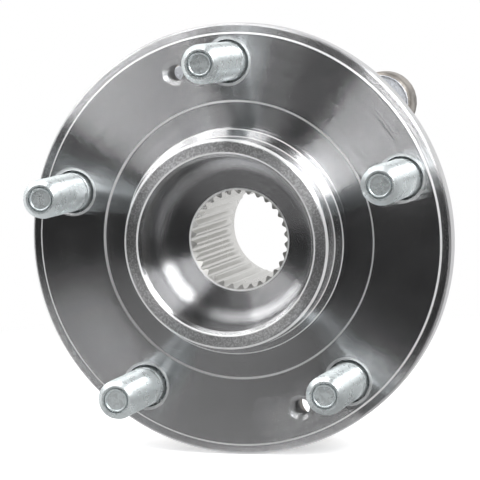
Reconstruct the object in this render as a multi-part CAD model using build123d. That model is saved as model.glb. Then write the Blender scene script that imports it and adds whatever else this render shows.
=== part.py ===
from build123d import *
import math
import os

# A driven wheel hub bearing unit: a flanged hub with five wheel studs turns inside a fixed outer
# ring on two rows of balls. Millimetres. The wheel axis is Y. The wheel side, or outboard side, is
# towards -Y and the vehicle side, or inboard side, is towards +Y. The origin is on the axis, in the
# plane of the brake disc face. Radii are measured from the axis and "at" values are places along Y.

# Hub flange, which carries the brake disc and the wheel
FLANGE_RADIUS = 65.4
FLANGE_THICKNESS = 9.0
RIM_THICKNESS = 6.4
RIM_EDGE_BREAK = 0.7
RIM_BAND_WIDTH = 3.2
RIM_BAND_DEPTH = 0.5
FACE_INNER_RADIUS = 42.3
FACE_RELIEF_DEPTH = 0.6
FACE_RELIEF_EDGE = 0.4

# Spigot: a short disc pilot at its root, then the wheel pilot up to its open nose
NOSE_LENGTH = 14.0
WHEEL_PILOT_RADIUS = 31.7
DISC_PILOT_STEP = 2.3
DISC_PILOT_HEIGHT = 4.6
PILOT_CONE_HEIGHT = 1.9
NOSE_CHAMFER = 1.1
NOSE_LAND_WIDTH = 3.2
DISH_MOUTH_CHAMFER = 1.3
DISH_WALL_DRAFT = 0.6
DISH_FLOOR_DEPTH = 16.0
DISH_FILLET = 5.0

# Fixed outer ring with its knuckle flange
OUTER_RING_START_AT = 13.0
KNUCKLE_PILOT_RADIUS = 42.0
PILOT_STEP = 0.4
OUTER_WALL = 4.4
OUTER_EDGE_BREAK = 0.8
FLANGE_WEB_HEIGHT = 17.0
FLANGE_WEB_EDGE = 1.5
EAR_FRONT_AT = 25.0
EAR_THICKNESS = 10.0
EAR_COUNT = 3
EAR_FIRST_ANGLE = 45.0
EAR_HOLE_OFFSET = 14.0
EAR_TIP_RADIUS = 9.6
EAR_ROOT_RADIUS = 17.0
EAR_ROOT_SINK = 13.0
EAR_EDGE_ROUND = 1.6
EAR_SPOTFACE_RADIUS = 8.3
EAR_SPOTFACE_DEPTH = 0.6
EAR_HOLE_RADIUS = 4.3

# Ball rows; a ball fills this share of its room in the row
BALL_COUNT = 13
BALL_FILL_SHARE = 0.856
BALL_BORE_GAP = 0.25
ROW_FRONT_GAP = 3.15
ROW_MIDDLE_GAP = 5.3
ROW_BACK_GAP = 4.05
RACEWAY_CLEARANCE = 0.08
RACE_SHOULDER_DROP = 1.5
CENTRE_SHOULDER_RISE = 2.2
SNAP_HEIGHT = 0.75
SNAP_DAM_WIDTH = 1.2

# Hub shaft and the pressed inner ring
ROOT_FILLET = 2.5
SEAL_LAND_DROP = 1.0
INNER_RING_WALL = 3.9
INNER_RING_OFFSET = 0.1
INNER_RING_BORE_CHAMFER = 1.6
COLLAR_HEIGHT = 1.0
COLLAR_THICKNESS = 3.0
COLLAR_EDGE = 1.2
COLLAR_DISH_CHAMFER = 1.8

# Splined bore for the drive shaft
SPLINE_TEETH = 30
SHAFT_WALL = 6.5
SPLINE_DEPTH = 1.15
SPLINE_TIP_SHARE = 0.16
SPLINE_ROOT_SHARE = 0.30
SPLINE_CUT_OVERLAP = 1.0
BORE_MOUTH_GAP = 0.4
BORE_BACK_LENGTH = 8.0
BORE_EXIT_CHAMFER = 1.5

# Wheel studs, M12 with a pressed knurl
STUD_COUNT = 5
STUD_FIRST_ANGLE = 91.9
STUD_EDGE_DISTANCE = 11.4
STUD_THREAD_RADIUS = 5.9
STUD_PROJECTION = 30.0
STUD_TIP_CHAMFER = 1.7
THREAD_PITCH = 1.5
THREAD_DEPTH = 0.62
THREAD_CREST_SHARE = 0.12
THREAD_ROOT_SHARE = 0.16
THREAD_END_GAP = 6.0
STUD_TIP_STEP = 1.5
STUD_TIP_RECESS_RADIUS = 3.3
STUD_TIP_RECESS_DEPTH = 0.35
STUD_COLLAR_HEIGHT = 0.15
STUD_COLLAR_SINK = 0.9
STUD_GROOVE_AT = 1.7
STUD_GROOVE_WIDTH = 0.9
STUD_GROOVE_DEPTH = 0.25
KNURL_HEIGHT = 0.55
KNURL_RIDGES = 28
KNURL_DEPTH = 0.35
KNURL_LENGTH = 6.2
STUD_HEAD_RADIUS = 9.0
STUD_HEAD_HEIGHT = 3.2
STUD_HEAD_EDGE = 0.8
STUD_HOLE_CHAMFER = 0.6

# Two threaded holes for the screws that hold the brake disc
DISC_SCREW_COUNT = 2
DISC_SCREW_OFFSET_ANGLE = 18.0
DISC_SCREW_HOLE_RADIUS = 3.0
DISC_SCREW_CHAMFER = 0.8

# Cages of moulded plastic
CAGE_WALL = 3.2
CAGE_FINGER_DROP = 1.45
CAGE_BACK_WALL = 1.95
CAGE_POCKET_CLEARANCE = 0.2

# Seals
SEAL_STEEL = 0.8
SEAL_CONTACT_GAP = 0.1
OUTBOARD_CASE_SINK = 0.4
OUTBOARD_CASE_LENGTH = 3.8
OUTBOARD_LIP_ROOM = 3.0
OUTBOARD_LIP_REACH = 1.5
DUST_LIP_GAP = 0.35
DUST_LIP_ROOM = 4.8
DUST_LIP_WIDTH = 0.5
LIP_NECK = 1.1
INBOARD_CASE_SINK = 3.5
INBOARD_CASE_LENGTH = 2.6
INBOARD_LIP_ROOM = 2.4
SLINGER_LENGTH = 4.0
SLINGER_SINK = 0.8
SLINGER_STEEL = 0.6
SLINGER_EDGE_GAP = 0.4
ENCODER_THICKNESS = 0.9
ENCODER_INNER_GAP = 1.0

# Sizes worked out from the ones above. The flange and its studs follow the flange's radius.
RIM_BAND_RADIUS = FLANGE_RADIUS - RIM_BAND_WIDTH
STUD_CIRCLE_RADIUS = FLANGE_RADIUS - STUD_EDGE_DISTANCE
DISC_PILOT_RADIUS = WHEEL_PILOT_RADIUS + DISC_PILOT_STEP
NOSE_LAND_RADIUS = WHEEL_PILOT_RADIUS - NOSE_CHAMFER
DISH_MOUTH_RADIUS = NOSE_LAND_RADIUS - NOSE_LAND_WIDTH
DISH_FLOOR_AT = DISH_FLOOR_DEPTH - NOSE_LENGTH
STUD_TIP_RADIUS = STUD_THREAD_RADIUS - STUD_TIP_STEP
STUD_COLLAR_RADIUS = STUD_THREAD_RADIUS + STUD_COLLAR_HEIGHT
KNURL_RADIUS = STUD_THREAD_RADIUS + KNURL_HEIGHT

# The whole bearing follows the knuckle pilot inwards: ring wall, balls, races, shaft, spline.
OUTER_BODY_RADIUS = KNUCKLE_PILOT_RADIUS - PILOT_STEP
FLANGE_WEB_RADIUS = KNUCKLE_PILOT_RADIUS + FLANGE_WEB_HEIGHT
EAR_CIRCLE_RADIUS = KNUCKLE_PILOT_RADIUS + EAR_HOLE_OFFSET
EAR_ROOT_CIRCLE_RADIUS = KNUCKLE_PILOT_RADIUS - EAR_ROOT_SINK
EAR_BACK_AT = EAR_FRONT_AT + EAR_THICKNESS
SEAL_BORE_RADIUS = KNUCKLE_PILOT_RADIUS - OUTER_WALL
BALL_SHARE = BALL_FILL_SHARE * math.sin(math.pi / BALL_COUNT)
BALL_CIRCLE_RADIUS = (SEAL_BORE_RADIUS - BALL_BORE_GAP) / (1 + BALL_SHARE)
BALL_RADIUS = BALL_CIRCLE_RADIUS * BALL_SHARE
RACE_RADIUS = BALL_RADIUS + RACEWAY_CLEARANCE
RACE_SHOULDER_RADIUS = BALL_CIRCLE_RADIUS - RACE_SHOULDER_DROP
CENTRE_SHOULDER_RADIUS = BALL_CIRCLE_RADIUS + CENTRE_SHOULDER_RISE
LOW_SHOULDER_RADIUS = BALL_CIRCLE_RADIUS - BALL_RADIUS + SNAP_HEIGHT
SEAL_LAND_RADIUS = BALL_CIRCLE_RADIUS - SEAL_LAND_DROP
INNER_RING_BORE_RADIUS = LOW_SHOULDER_RADIUS - INNER_RING_WALL
COLLAR_RADIUS = LOW_SHOULDER_RADIUS + COLLAR_HEIGHT
SPLINE_ROOT_RADIUS = INNER_RING_BORE_RADIUS - SHAFT_WALL
SPLINE_TIP_RADIUS = SPLINE_ROOT_RADIUS - SPLINE_DEPTH
BORE_MOUTH_RADIUS = SPLINE_ROOT_RADIUS + BORE_MOUTH_GAP
CAGE_INNER_RADIUS = BALL_CIRCLE_RADIUS - CAGE_WALL / 2
CAGE_OUTER_RADIUS = BALL_CIRCLE_RADIUS + CAGE_WALL / 2
CAGE_FINGER_REACH = BALL_RADIUS - CAGE_FINGER_DROP
CAGE_BACK_REACH = BALL_RADIUS + CAGE_BACK_WALL
OUTBOARD_CASE_HOLE_RADIUS = SEAL_LAND_RADIUS + OUTBOARD_LIP_ROOM
INBOARD_CASE_HOLE_RADIUS = SEAL_LAND_RADIUS + INBOARD_LIP_ROOM
DUST_LIP_RADIUS = SEAL_LAND_RADIUS + DUST_LIP_ROOM

# Along the axis, the rows follow the front of the outer ring and the size of the balls.
OUTBOARD_CASE_AT = OUTER_RING_START_AT + OUTBOARD_CASE_SINK
OUTBOARD_ROW_AT = OUTER_RING_START_AT + ROW_FRONT_GAP + BALL_RADIUS
INBOARD_ROW_AT = OUTBOARD_ROW_AT + 2 * BALL_RADIUS + ROW_MIDDLE_GAP
OUTER_RING_END_AT = INBOARD_ROW_AT + BALL_RADIUS + ROW_BACK_GAP
INNER_RING_START_AT = (OUTBOARD_ROW_AT + INBOARD_ROW_AT) / 2 + INNER_RING_OFFSET
INNER_RING_END_AT = OUTER_RING_END_AT + INNER_RING_OFFSET
HUB_END_AT = INNER_RING_END_AT + COLLAR_THICKNESS
SPLINE_END_AT = HUB_END_AT - BORE_BACK_LENGTH
INBOARD_CASE_AT = OUTER_RING_END_AT - INBOARD_CASE_SINK
SLINGER_START_AT = INNER_RING_END_AT - SLINGER_LENGTH
SLINGER_PLATE_AT = OUTER_RING_END_AT - SLINGER_SINK

EAR_ANGLES = [EAR_FIRST_ANGLE + 360 / EAR_COUNT * i for i in range(EAR_COUNT)]
STUD_ANGLES = [STUD_FIRST_ANGLE - 360 / STUD_COUNT * i for i in range(STUD_COUNT)]
DISC_SCREW_FIRST_ANGLE = STUD_FIRST_ANGLE + DISC_SCREW_OFFSET_ANGLE
DISC_SCREW_ANGLES = [
    DISC_SCREW_FIRST_ANGLE + 360 / DISC_SCREW_COUNT * i for i in range(DISC_SCREW_COUNT)
]
BALL_ANGLES = [360 / BALL_COUNT * (i + 0.5) for i in range(BALL_COUNT)]


def on_circle(radius, angle, at=0.0):
    """A point at an angle from +X towards +Z, as seen from the wheel side."""
    turn = math.radians(angle)
    return Vector(radius * math.cos(turn), at, radius * math.sin(turn))


def turned(*points):
    """A turned ring or shaft from the (radius, at) corners of its half section."""
    section = make_face(Polyline(*points, close=True))
    return revolve(section, Axis.Y, 360)


def outline_face(*lines):
    """A flat face inside a closed outline of straight runs and arcs."""
    return make_face([edge for line in lines for edge in line.edges()])


def race_groove(row_at):
    """The ring-shaped cut that a row of balls runs in."""
    groove = Torus(BALL_CIRCLE_RADIUS, RACE_RADIUS)
    return Pos(0, row_at, 0) * Rot(90, 0, 0) * groove


def round_hole(radius, start_at, end_at, centre):
    """A cylinder along Y between two places, to drill with."""
    length = end_at - start_at
    middle = Vector(centre.X, (start_at + end_at) / 2, centre.Z)
    return Pos(*middle) * Rot(90, 0, 0) * Cylinder(radius, length)


def cone_cut(small_radius, large_radius, small_at, large_at, centre):
    """A countersink between a small radius and a large one."""
    lower, upper = min(small_at, large_at), max(small_at, large_at)
    first, last = (small_radius, large_radius) if small_at < large_at else (large_radius, small_radius)
    middle = Vector(centre.X, (lower + upper) / 2, centre.Z)
    return Pos(*middle) * Rot(-90, 0, 0) * Cone(first, last, upper - lower)


def hub_blank():
    """The hub forging as turned: dish, spigot, flange, seal land, shaft and formed collar."""
    floor_radius = DISH_MOUTH_RADIUS - DISH_MOUTH_CHAMFER - DISH_WALL_DRAFT - DISH_FILLET
    wall_foot = (floor_radius + DISH_FILLET, DISH_FLOOR_AT - DISH_FILLET)
    floor_edge = (floor_radius, DISH_FLOOR_AT)
    arc_middle = (
        floor_radius + DISH_FILLET * math.sin(math.pi / 4),
        DISH_FLOOR_AT - DISH_FILLET * (1 - math.cos(math.pi / 4)),
    )
    front = [
        wall_foot,
        (DISH_MOUTH_RADIUS - DISH_MOUTH_CHAMFER, -NOSE_LENGTH + DISH_MOUTH_CHAMFER),
        (DISH_MOUTH_RADIUS, -NOSE_LENGTH),
        (NOSE_LAND_RADIUS, -NOSE_LENGTH),
        (WHEEL_PILOT_RADIUS, -NOSE_LENGTH + NOSE_CHAMFER),
        (WHEEL_PILOT_RADIUS, -DISC_PILOT_HEIGHT - PILOT_CONE_HEIGHT),
        (DISC_PILOT_RADIUS, -DISC_PILOT_HEIGHT),
        (DISC_PILOT_RADIUS, FACE_RELIEF_DEPTH),
        (FACE_INNER_RADIUS - FACE_RELIEF_EDGE, FACE_RELIEF_DEPTH),
        (FACE_INNER_RADIUS, 0),
        (RIM_BAND_RADIUS, 0),
        (RIM_BAND_RADIUS + RIM_BAND_DEPTH, RIM_BAND_DEPTH),
        (FLANGE_RADIUS - RIM_EDGE_BREAK, RIM_BAND_DEPTH),
        (FLANGE_RADIUS, RIM_BAND_DEPTH + RIM_EDGE_BREAK),
        (FLANGE_RADIUS, RIM_THICKNESS),
        (FLANGE_RADIUS - (FLANGE_THICKNESS - RIM_THICKNESS), FLANGE_THICKNESS),
        (SEAL_LAND_RADIUS + ROOT_FILLET, FLANGE_THICKNESS),
    ]
    root_middle = (
        SEAL_LAND_RADIUS + ROOT_FILLET * (1 - math.sin(math.pi / 4)),
        FLANGE_THICKNESS + ROOT_FILLET * (1 - math.cos(math.pi / 4)),
    )
    shoulder_drop = BALL_CIRCLE_RADIUS - RACE_SHOULDER_RADIUS
    race_edge_at = OUTBOARD_ROW_AT - math.sqrt(RACE_RADIUS**2 - shoulder_drop**2)
    land_step = SEAL_LAND_RADIUS - RACE_SHOULDER_RADIUS
    ring_chamfer_at = INNER_RING_END_AT - INNER_RING_BORE_CHAMFER
    back = [
        (SEAL_LAND_RADIUS, FLANGE_THICKNESS + ROOT_FILLET),
        (SEAL_LAND_RADIUS, race_edge_at - land_step),
        (RACE_SHOULDER_RADIUS, race_edge_at),
        (RACE_SHOULDER_RADIUS, OUTBOARD_ROW_AT),
        (LOW_SHOULDER_RADIUS, OUTBOARD_ROW_AT),
        (LOW_SHOULDER_RADIUS, INNER_RING_START_AT),
        (INNER_RING_BORE_RADIUS, INNER_RING_START_AT),
        (INNER_RING_BORE_RADIUS, ring_chamfer_at),
        (INNER_RING_BORE_RADIUS + INNER_RING_BORE_CHAMFER, INNER_RING_END_AT),
        (COLLAR_RADIUS, INNER_RING_END_AT),
        (COLLAR_RADIUS, HUB_END_AT - COLLAR_EDGE),
        (COLLAR_RADIUS - COLLAR_EDGE, HUB_END_AT),
        (BORE_MOUTH_RADIUS + COLLAR_DISH_CHAMFER, HUB_END_AT),
        (BORE_MOUTH_RADIUS, HUB_END_AT - BORE_EXIT_CHAMFER),
        (BORE_MOUTH_RADIUS, SPLINE_END_AT),
        (SPLINE_TIP_RADIUS, SPLINE_END_AT - (BORE_MOUTH_RADIUS - SPLINE_TIP_RADIUS)),
        (SPLINE_TIP_RADIUS, DISH_FLOOR_AT + BORE_MOUTH_RADIUS - SPLINE_TIP_RADIUS),
        (BORE_MOUTH_RADIUS, DISH_FLOOR_AT),
        floor_edge,
    ]
    section = outline_face(
        Polyline(*front),
        ThreePointArc(front[-1], root_middle, back[0]),
        Polyline(*back),
        ThreePointArc(floor_edge, arc_middle, wall_foot),
    )
    return revolve(section, Axis.Y, 360)


def spline_space():
    """One space between two spline teeth, cut outwards from inside the bore."""
    pitch = 2 * math.pi / SPLINE_TEETH
    tip_half = pitch * (1 - SPLINE_TIP_SHARE) / 2
    root_half = pitch * SPLINE_ROOT_SHARE / 2
    inside = SPLINE_TIP_RADIUS - SPLINE_CUT_OVERLAP

    def corner(radius, angle):
        return (radius * math.cos(angle), radius * math.sin(angle))

    side_angle = tip_half * SPLINE_TIP_RADIUS / inside
    root_top = SPLINE_ROOT_RADIUS + (BORE_MOUTH_RADIUS - SPLINE_ROOT_RADIUS) / 2
    sides = Polyline(
        corner(SPLINE_ROOT_RADIUS, -root_half),
        corner(SPLINE_TIP_RADIUS, -tip_half),
        corner(inside, -side_angle),
        corner(inside, side_angle),
        corner(SPLINE_TIP_RADIUS, tip_half),
        corner(SPLINE_ROOT_RADIUS, root_half),
    )
    root = ThreePointArc(
        corner(SPLINE_ROOT_RADIUS, root_half),
        corner(root_top, 0),
        corner(SPLINE_ROOT_RADIUS, -root_half),
    )
    face = outline_face(sides, root)
    length = SPLINE_END_AT - DISH_FLOOR_AT
    return Pos(0, SPLINE_END_AT, 0) * Rot(90, 0, 0) * extrude(face, length)


def stud_hole(angle):
    """The pressed hole of one stud with its countersunk mouth on the disc face."""
    centre = on_circle(STUD_CIRCLE_RADIUS, angle)
    margin = FLANGE_THICKNESS
    hole = round_hole(KNURL_RADIUS, -margin, FLANGE_THICKNESS + margin, centre)
    mouth = cone_cut(KNURL_RADIUS, KNURL_RADIUS + STUD_HOLE_CHAMFER, STUD_HOLE_CHAMFER, 0, centre)
    return [hole, mouth]


def disc_screw_hole(angle):
    """A threaded hole for a disc screw, drawn at its bore, with a countersunk mouth."""
    centre = on_circle(STUD_CIRCLE_RADIUS, angle)
    margin = FLANGE_THICKNESS
    hole = round_hole(DISC_SCREW_HOLE_RADIUS, -margin, FLANGE_THICKNESS + margin, centre)
    wide = DISC_SCREW_HOLE_RADIUS + DISC_SCREW_CHAMFER
    mouth = cone_cut(DISC_SCREW_HOLE_RADIUS, wide, DISC_SCREW_CHAMFER, 0, centre)
    return [hole, mouth]


def hub_flange():
    cuts = [race_groove(OUTBOARD_ROW_AT)]
    for angle in STUD_ANGLES:
        cuts += stud_hole(angle)
    for angle in DISC_SCREW_ANGLES:
        cuts += disc_screw_hole(angle)
    space = spline_space()
    for i in range(SPLINE_TEETH):
        cuts.append(Rot(0, 360 / SPLINE_TEETH * i, 0) * space)
    return hub_blank() - cuts


def inner_ring():
    """The separate race of the inboard row, pressed on the hub shaft and held by its collar."""
    blank = turned(
        (INNER_RING_BORE_RADIUS, INNER_RING_START_AT),
        (LOW_SHOULDER_RADIUS, INNER_RING_START_AT),
        (LOW_SHOULDER_RADIUS, INBOARD_ROW_AT),
        (RACE_SHOULDER_RADIUS, INBOARD_ROW_AT),
        (RACE_SHOULDER_RADIUS, INNER_RING_END_AT),
        (INNER_RING_BORE_RADIUS + INNER_RING_BORE_CHAMFER, INNER_RING_END_AT),
        (INNER_RING_BORE_RADIUS, INNER_RING_END_AT - INNER_RING_BORE_CHAMFER),
    )
    return blank - race_groove(INBOARD_ROW_AT)


def outer_ring_ear(angle):
    """One ear of the knuckle flange with rounded edges, before its hole is drilled."""
    outline = make_hull(
        (
            Pos(EAR_CIRCLE_RADIUS, 0) * Circle(EAR_TIP_RADIUS)
            + Pos(EAR_ROOT_CIRCLE_RADIUS, 0) * Circle(EAR_ROOT_RADIUS)
        ).edges()
    )
    ear = extrude(outline, EAR_THICKNESS)
    rims = ear.edges().filter_by(Plane.XY)
    ear = fillet(rims, EAR_EDGE_ROUND)
    return Rot(0, -angle, 0) * Pos(0, EAR_BACK_AT, 0) * Rot(90, 0, 0) * ear


def ear_cuts(centre):
    """The bolt hole of one ear and the machined seat round it on the wheel side."""
    margin = EAR_THICKNESS
    hole = round_hole(EAR_HOLE_RADIUS, EAR_FRONT_AT - margin, EAR_BACK_AT + margin, centre)
    seat_bottom_at = EAR_FRONT_AT + EAR_SPOTFACE_DEPTH
    seat = round_hole(EAR_SPOTFACE_RADIUS, EAR_FRONT_AT - margin, seat_bottom_at, centre)
    return [hole, seat]


def outer_ring():
    """The fixed ring: two raceways, seal bores at both ends, knuckle pilot and three ears."""
    dam_at = [OUTBOARD_ROW_AT - SNAP_DAM_WIDTH, INBOARD_ROW_AT + SNAP_DAM_WIDTH]
    ring = turned(
        (SEAL_BORE_RADIUS, OUTER_RING_START_AT),
        (OUTER_BODY_RADIUS - OUTER_EDGE_BREAK, OUTER_RING_START_AT),
        (OUTER_BODY_RADIUS, OUTER_RING_START_AT + OUTER_EDGE_BREAK),
        (OUTER_BODY_RADIUS, EAR_FRONT_AT),
        (FLANGE_WEB_RADIUS - FLANGE_WEB_EDGE, EAR_FRONT_AT),
        (FLANGE_WEB_RADIUS, EAR_FRONT_AT + FLANGE_WEB_EDGE),
        (FLANGE_WEB_RADIUS, EAR_BACK_AT),
        (KNUCKLE_PILOT_RADIUS, EAR_BACK_AT),
        (KNUCKLE_PILOT_RADIUS, OUTER_RING_END_AT - OUTER_EDGE_BREAK),
        (KNUCKLE_PILOT_RADIUS - OUTER_EDGE_BREAK, OUTER_RING_END_AT),
        (SEAL_BORE_RADIUS, OUTER_RING_END_AT),
        (SEAL_BORE_RADIUS, dam_at[1]),
        (CENTRE_SHOULDER_RADIUS, dam_at[1]),
        (CENTRE_SHOULDER_RADIUS, dam_at[0]),
        (SEAL_BORE_RADIUS, dam_at[0]),
    )
    inside = round_hole(SEAL_BORE_RADIUS, OUTER_RING_START_AT, OUTER_RING_END_AT, Vector(0, 0, 0))
    cuts = [race_groove(OUTBOARD_ROW_AT), race_groove(INBOARD_ROW_AT)]
    for angle in EAR_ANGLES:
        ring += outer_ring_ear(angle) - inside
        cuts += ear_cuts(on_circle(EAR_CIRCLE_RADIUS, angle))
    return ring - cuts


def ball_shape(row_at, angle, radius):
    """A sphere in its place in a row, with its poles on the line to the wheel axis."""
    return Rot(0, -angle, 0) * Pos(BALL_CIRCLE_RADIUS, row_at, 0) * Rot(0, 90, 0) * Sphere(radius)


def cage(row_at, back_side):
    """A crown-shaped cage; back_side is +1 where its closed ring lies inboard of the balls."""
    ends = sorted((row_at - back_side * CAGE_FINGER_REACH, row_at + back_side * CAGE_BACK_REACH))
    ring = turned(
        (CAGE_INNER_RADIUS, ends[0]),
        (CAGE_OUTER_RADIUS, ends[0]),
        (CAGE_OUTER_RADIUS, ends[1]),
        (CAGE_INNER_RADIUS, ends[1]),
    )
    pocket_radius = BALL_RADIUS + CAGE_POCKET_CLEARANCE
    return ring - [ball_shape(row_at, angle, pocket_radius) for angle in BALL_ANGLES]


def seal_outboard_case():
    """The pressed steel case of the wheel-side seal."""
    leg_radius = SEAL_BORE_RADIUS - SEAL_STEEL
    return turned(
        (SEAL_BORE_RADIUS, OUTBOARD_CASE_AT),
        (SEAL_BORE_RADIUS, OUTBOARD_CASE_AT + OUTBOARD_CASE_LENGTH),
        (leg_radius, OUTBOARD_CASE_AT + OUTBOARD_CASE_LENGTH),
        (leg_radius, OUTBOARD_CASE_AT + SEAL_STEEL),
        (OUTBOARD_CASE_HOLE_RADIUS, OUTBOARD_CASE_AT + SEAL_STEEL),
        (OUTBOARD_CASE_HOLE_RADIUS, OUTBOARD_CASE_AT),
    )


def seal_outboard_lip():
    """Rubber bonded to the case: a radial lip on the seal land and a dust lip to the flange."""
    contact = SEAL_LAND_RADIUS + SEAL_CONTACT_GAP
    back_at = OUTBOARD_CASE_AT + SEAL_STEEL
    dust_tip_at = FLANGE_THICKNESS + DUST_LIP_GAP
    hole = OUTBOARD_CASE_HOLE_RADIUS
    return turned(
        (hole, OUTBOARD_CASE_AT),
        (hole, back_at),
        (hole + LIP_NECK, back_at),
        (hole + LIP_NECK, back_at + DUST_LIP_WIDTH),
        (hole - LIP_NECK, back_at + DUST_LIP_WIDTH),
        (contact, back_at + OUTBOARD_LIP_REACH),
        (contact, back_at + OUTBOARD_LIP_REACH - DUST_LIP_WIDTH),
        (hole - LIP_NECK, OUTBOARD_CASE_AT),
        (DUST_LIP_RADIUS - DUST_LIP_WIDTH, dust_tip_at),
        (DUST_LIP_RADIUS, dust_tip_at),
    )


def seal_inboard_case():
    """The pressed steel case of the vehicle-side seal."""
    leg_radius = SEAL_BORE_RADIUS - SEAL_STEEL
    return turned(
        (SEAL_BORE_RADIUS, INBOARD_CASE_AT),
        (SEAL_BORE_RADIUS, INBOARD_CASE_AT + INBOARD_CASE_LENGTH),
        (leg_radius, INBOARD_CASE_AT + INBOARD_CASE_LENGTH),
        (leg_radius, INBOARD_CASE_AT + SEAL_STEEL),
        (INBOARD_CASE_HOLE_RADIUS, INBOARD_CASE_AT + SEAL_STEEL),
        (INBOARD_CASE_HOLE_RADIUS, INBOARD_CASE_AT),
    )


def seal_inboard_lip():
    """Rubber bonded to the inboard case, with a radial lip on the slinger sleeve."""
    contact = RACE_SHOULDER_RADIUS + SLINGER_STEEL + SEAL_CONTACT_GAP
    back_at = INBOARD_CASE_AT + SEAL_STEEL
    hole = INBOARD_CASE_HOLE_RADIUS
    return turned(
        (hole, INBOARD_CASE_AT),
        (hole, back_at),
        (hole + LIP_NECK, back_at),
        (hole + LIP_NECK, back_at + DUST_LIP_WIDTH),
        (hole - LIP_NECK, back_at + DUST_LIP_WIDTH),
        (contact, back_at + DUST_LIP_WIDTH + LIP_NECK),
        (contact, back_at + LIP_NECK),
        (hole - LIP_NECK, INBOARD_CASE_AT),
    )


def seal_inboard_slinger():
    """The steel ring pressed on the inner ring, which turns in front of the inboard seal."""
    rim_radius = SEAL_BORE_RADIUS - SEAL_STEEL - SLINGER_EDGE_GAP
    sleeve_radius = RACE_SHOULDER_RADIUS + SLINGER_STEEL
    return turned(
        (RACE_SHOULDER_RADIUS, SLINGER_START_AT),
        (RACE_SHOULDER_RADIUS, SLINGER_PLATE_AT + SLINGER_STEEL),
        (rim_radius, SLINGER_PLATE_AT + SLINGER_STEEL),
        (rim_radius, SLINGER_PLATE_AT),
        (sleeve_radius, SLINGER_PLATE_AT),
        (sleeve_radius, SLINGER_START_AT),
    )


def encoder_ring():
    """The magnetic rubber ring on the slinger that a wheel speed sensor reads."""
    rim_radius = SEAL_BORE_RADIUS - SEAL_STEEL - SLINGER_EDGE_GAP
    inner_radius = RACE_SHOULDER_RADIUS + ENCODER_INNER_GAP
    seat_at = SLINGER_PLATE_AT + SLINGER_STEEL
    return turned(
        (inner_radius, seat_at),
        (rim_radius, seat_at),
        (rim_radius, seat_at + ENCODER_THICKNESS),
        (inner_radius, seat_at + ENCODER_THICKNESS),
    )


def stud_knurl():
    """The ridged band of a stud that is pressed into the flange."""
    valley = KNURL_RADIUS - KNURL_DEPTH
    step = math.pi / KNURL_RIDGES
    points = []
    for i in range(2 * KNURL_RIDGES):
        radius = KNURL_RADIUS if i % 2 == 0 else valley
        points.append((radius * math.cos(step * i), radius * math.sin(step * i)))
    band = extrude(make_face(Polyline(*points, close=True)), KNURL_LENGTH)
    return Pos(0, FLANGE_THICKNESS, 0) * Rot(90, 0, 0) * band


def thread_grooves(start_at):
    """Half-section corners of the thread, drawn as one closed groove for each turn."""
    crest = THREAD_PITCH * THREAD_CREST_SHARE / 2
    root = THREAD_PITCH * THREAD_ROOT_SHARE / 2
    groove_radius = STUD_THREAD_RADIUS - THREAD_DEPTH
    turns = int((-THREAD_END_GAP - start_at) / THREAD_PITCH)
    corners = []
    for i in range(turns):
        at = start_at + THREAD_PITCH * i
        middle = at + THREAD_PITCH / 2
        corners.append((STUD_THREAD_RADIUS, at + crest))
        corners.append((groove_radius, middle - root))
        corners.append((groove_radius, middle + root))
        corners.append((STUD_THREAD_RADIUS, at + THREAD_PITCH - crest))
    return corners


def stud_blank():
    """A wheel stud on the wheel axis with its thread, collar, knurl and head."""
    thread_at = -STUD_PROJECTION + STUD_TIP_CHAMFER
    groove_radius = STUD_THREAD_RADIUS - STUD_GROOVE_DEPTH
    groove_end_at = -STUD_GROOVE_AT - STUD_GROOVE_WIDTH
    body = turned(
        (0, -STUD_PROJECTION + STUD_TIP_RECESS_DEPTH),
        (STUD_TIP_RECESS_RADIUS - STUD_TIP_RECESS_DEPTH, -STUD_PROJECTION + STUD_TIP_RECESS_DEPTH),
        (STUD_TIP_RECESS_RADIUS, -STUD_PROJECTION),
        (STUD_TIP_RADIUS, -STUD_PROJECTION),
        (STUD_THREAD_RADIUS, thread_at),
        *thread_grooves(thread_at),
        (STUD_THREAD_RADIUS, groove_end_at),
        (groove_radius, groove_end_at + STUD_GROOVE_DEPTH),
        (groove_radius, -STUD_GROOVE_AT - STUD_GROOVE_DEPTH),
        (STUD_THREAD_RADIUS, -STUD_GROOVE_AT),
        (STUD_THREAD_RADIUS, STUD_COLLAR_SINK),
        (STUD_COLLAR_RADIUS, STUD_COLLAR_SINK + STUD_COLLAR_RADIUS - STUD_THREAD_RADIUS),
        (STUD_COLLAR_RADIUS, FLANGE_THICKNESS),
        (STUD_HEAD_RADIUS, FLANGE_THICKNESS),
        (STUD_HEAD_RADIUS, FLANGE_THICKNESS + STUD_HEAD_HEIGHT - STUD_HEAD_EDGE),
        (STUD_HEAD_RADIUS - STUD_HEAD_EDGE, FLANGE_THICKNESS + STUD_HEAD_HEIGHT),
        (0, FLANGE_THICKNESS + STUD_HEAD_HEIGHT),
    )
    return body + stud_knurl()


def wheel_stud(blank, angle):
    return Pos(*on_circle(STUD_CIRCLE_RADIUS, angle)) * blank


def save(shape, name):
    export_step(shape, f"parts/{name}.step")
    print(f"{name}: {shape.volume:.1f} mm3, {len(shape.solids())} solid")


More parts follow.
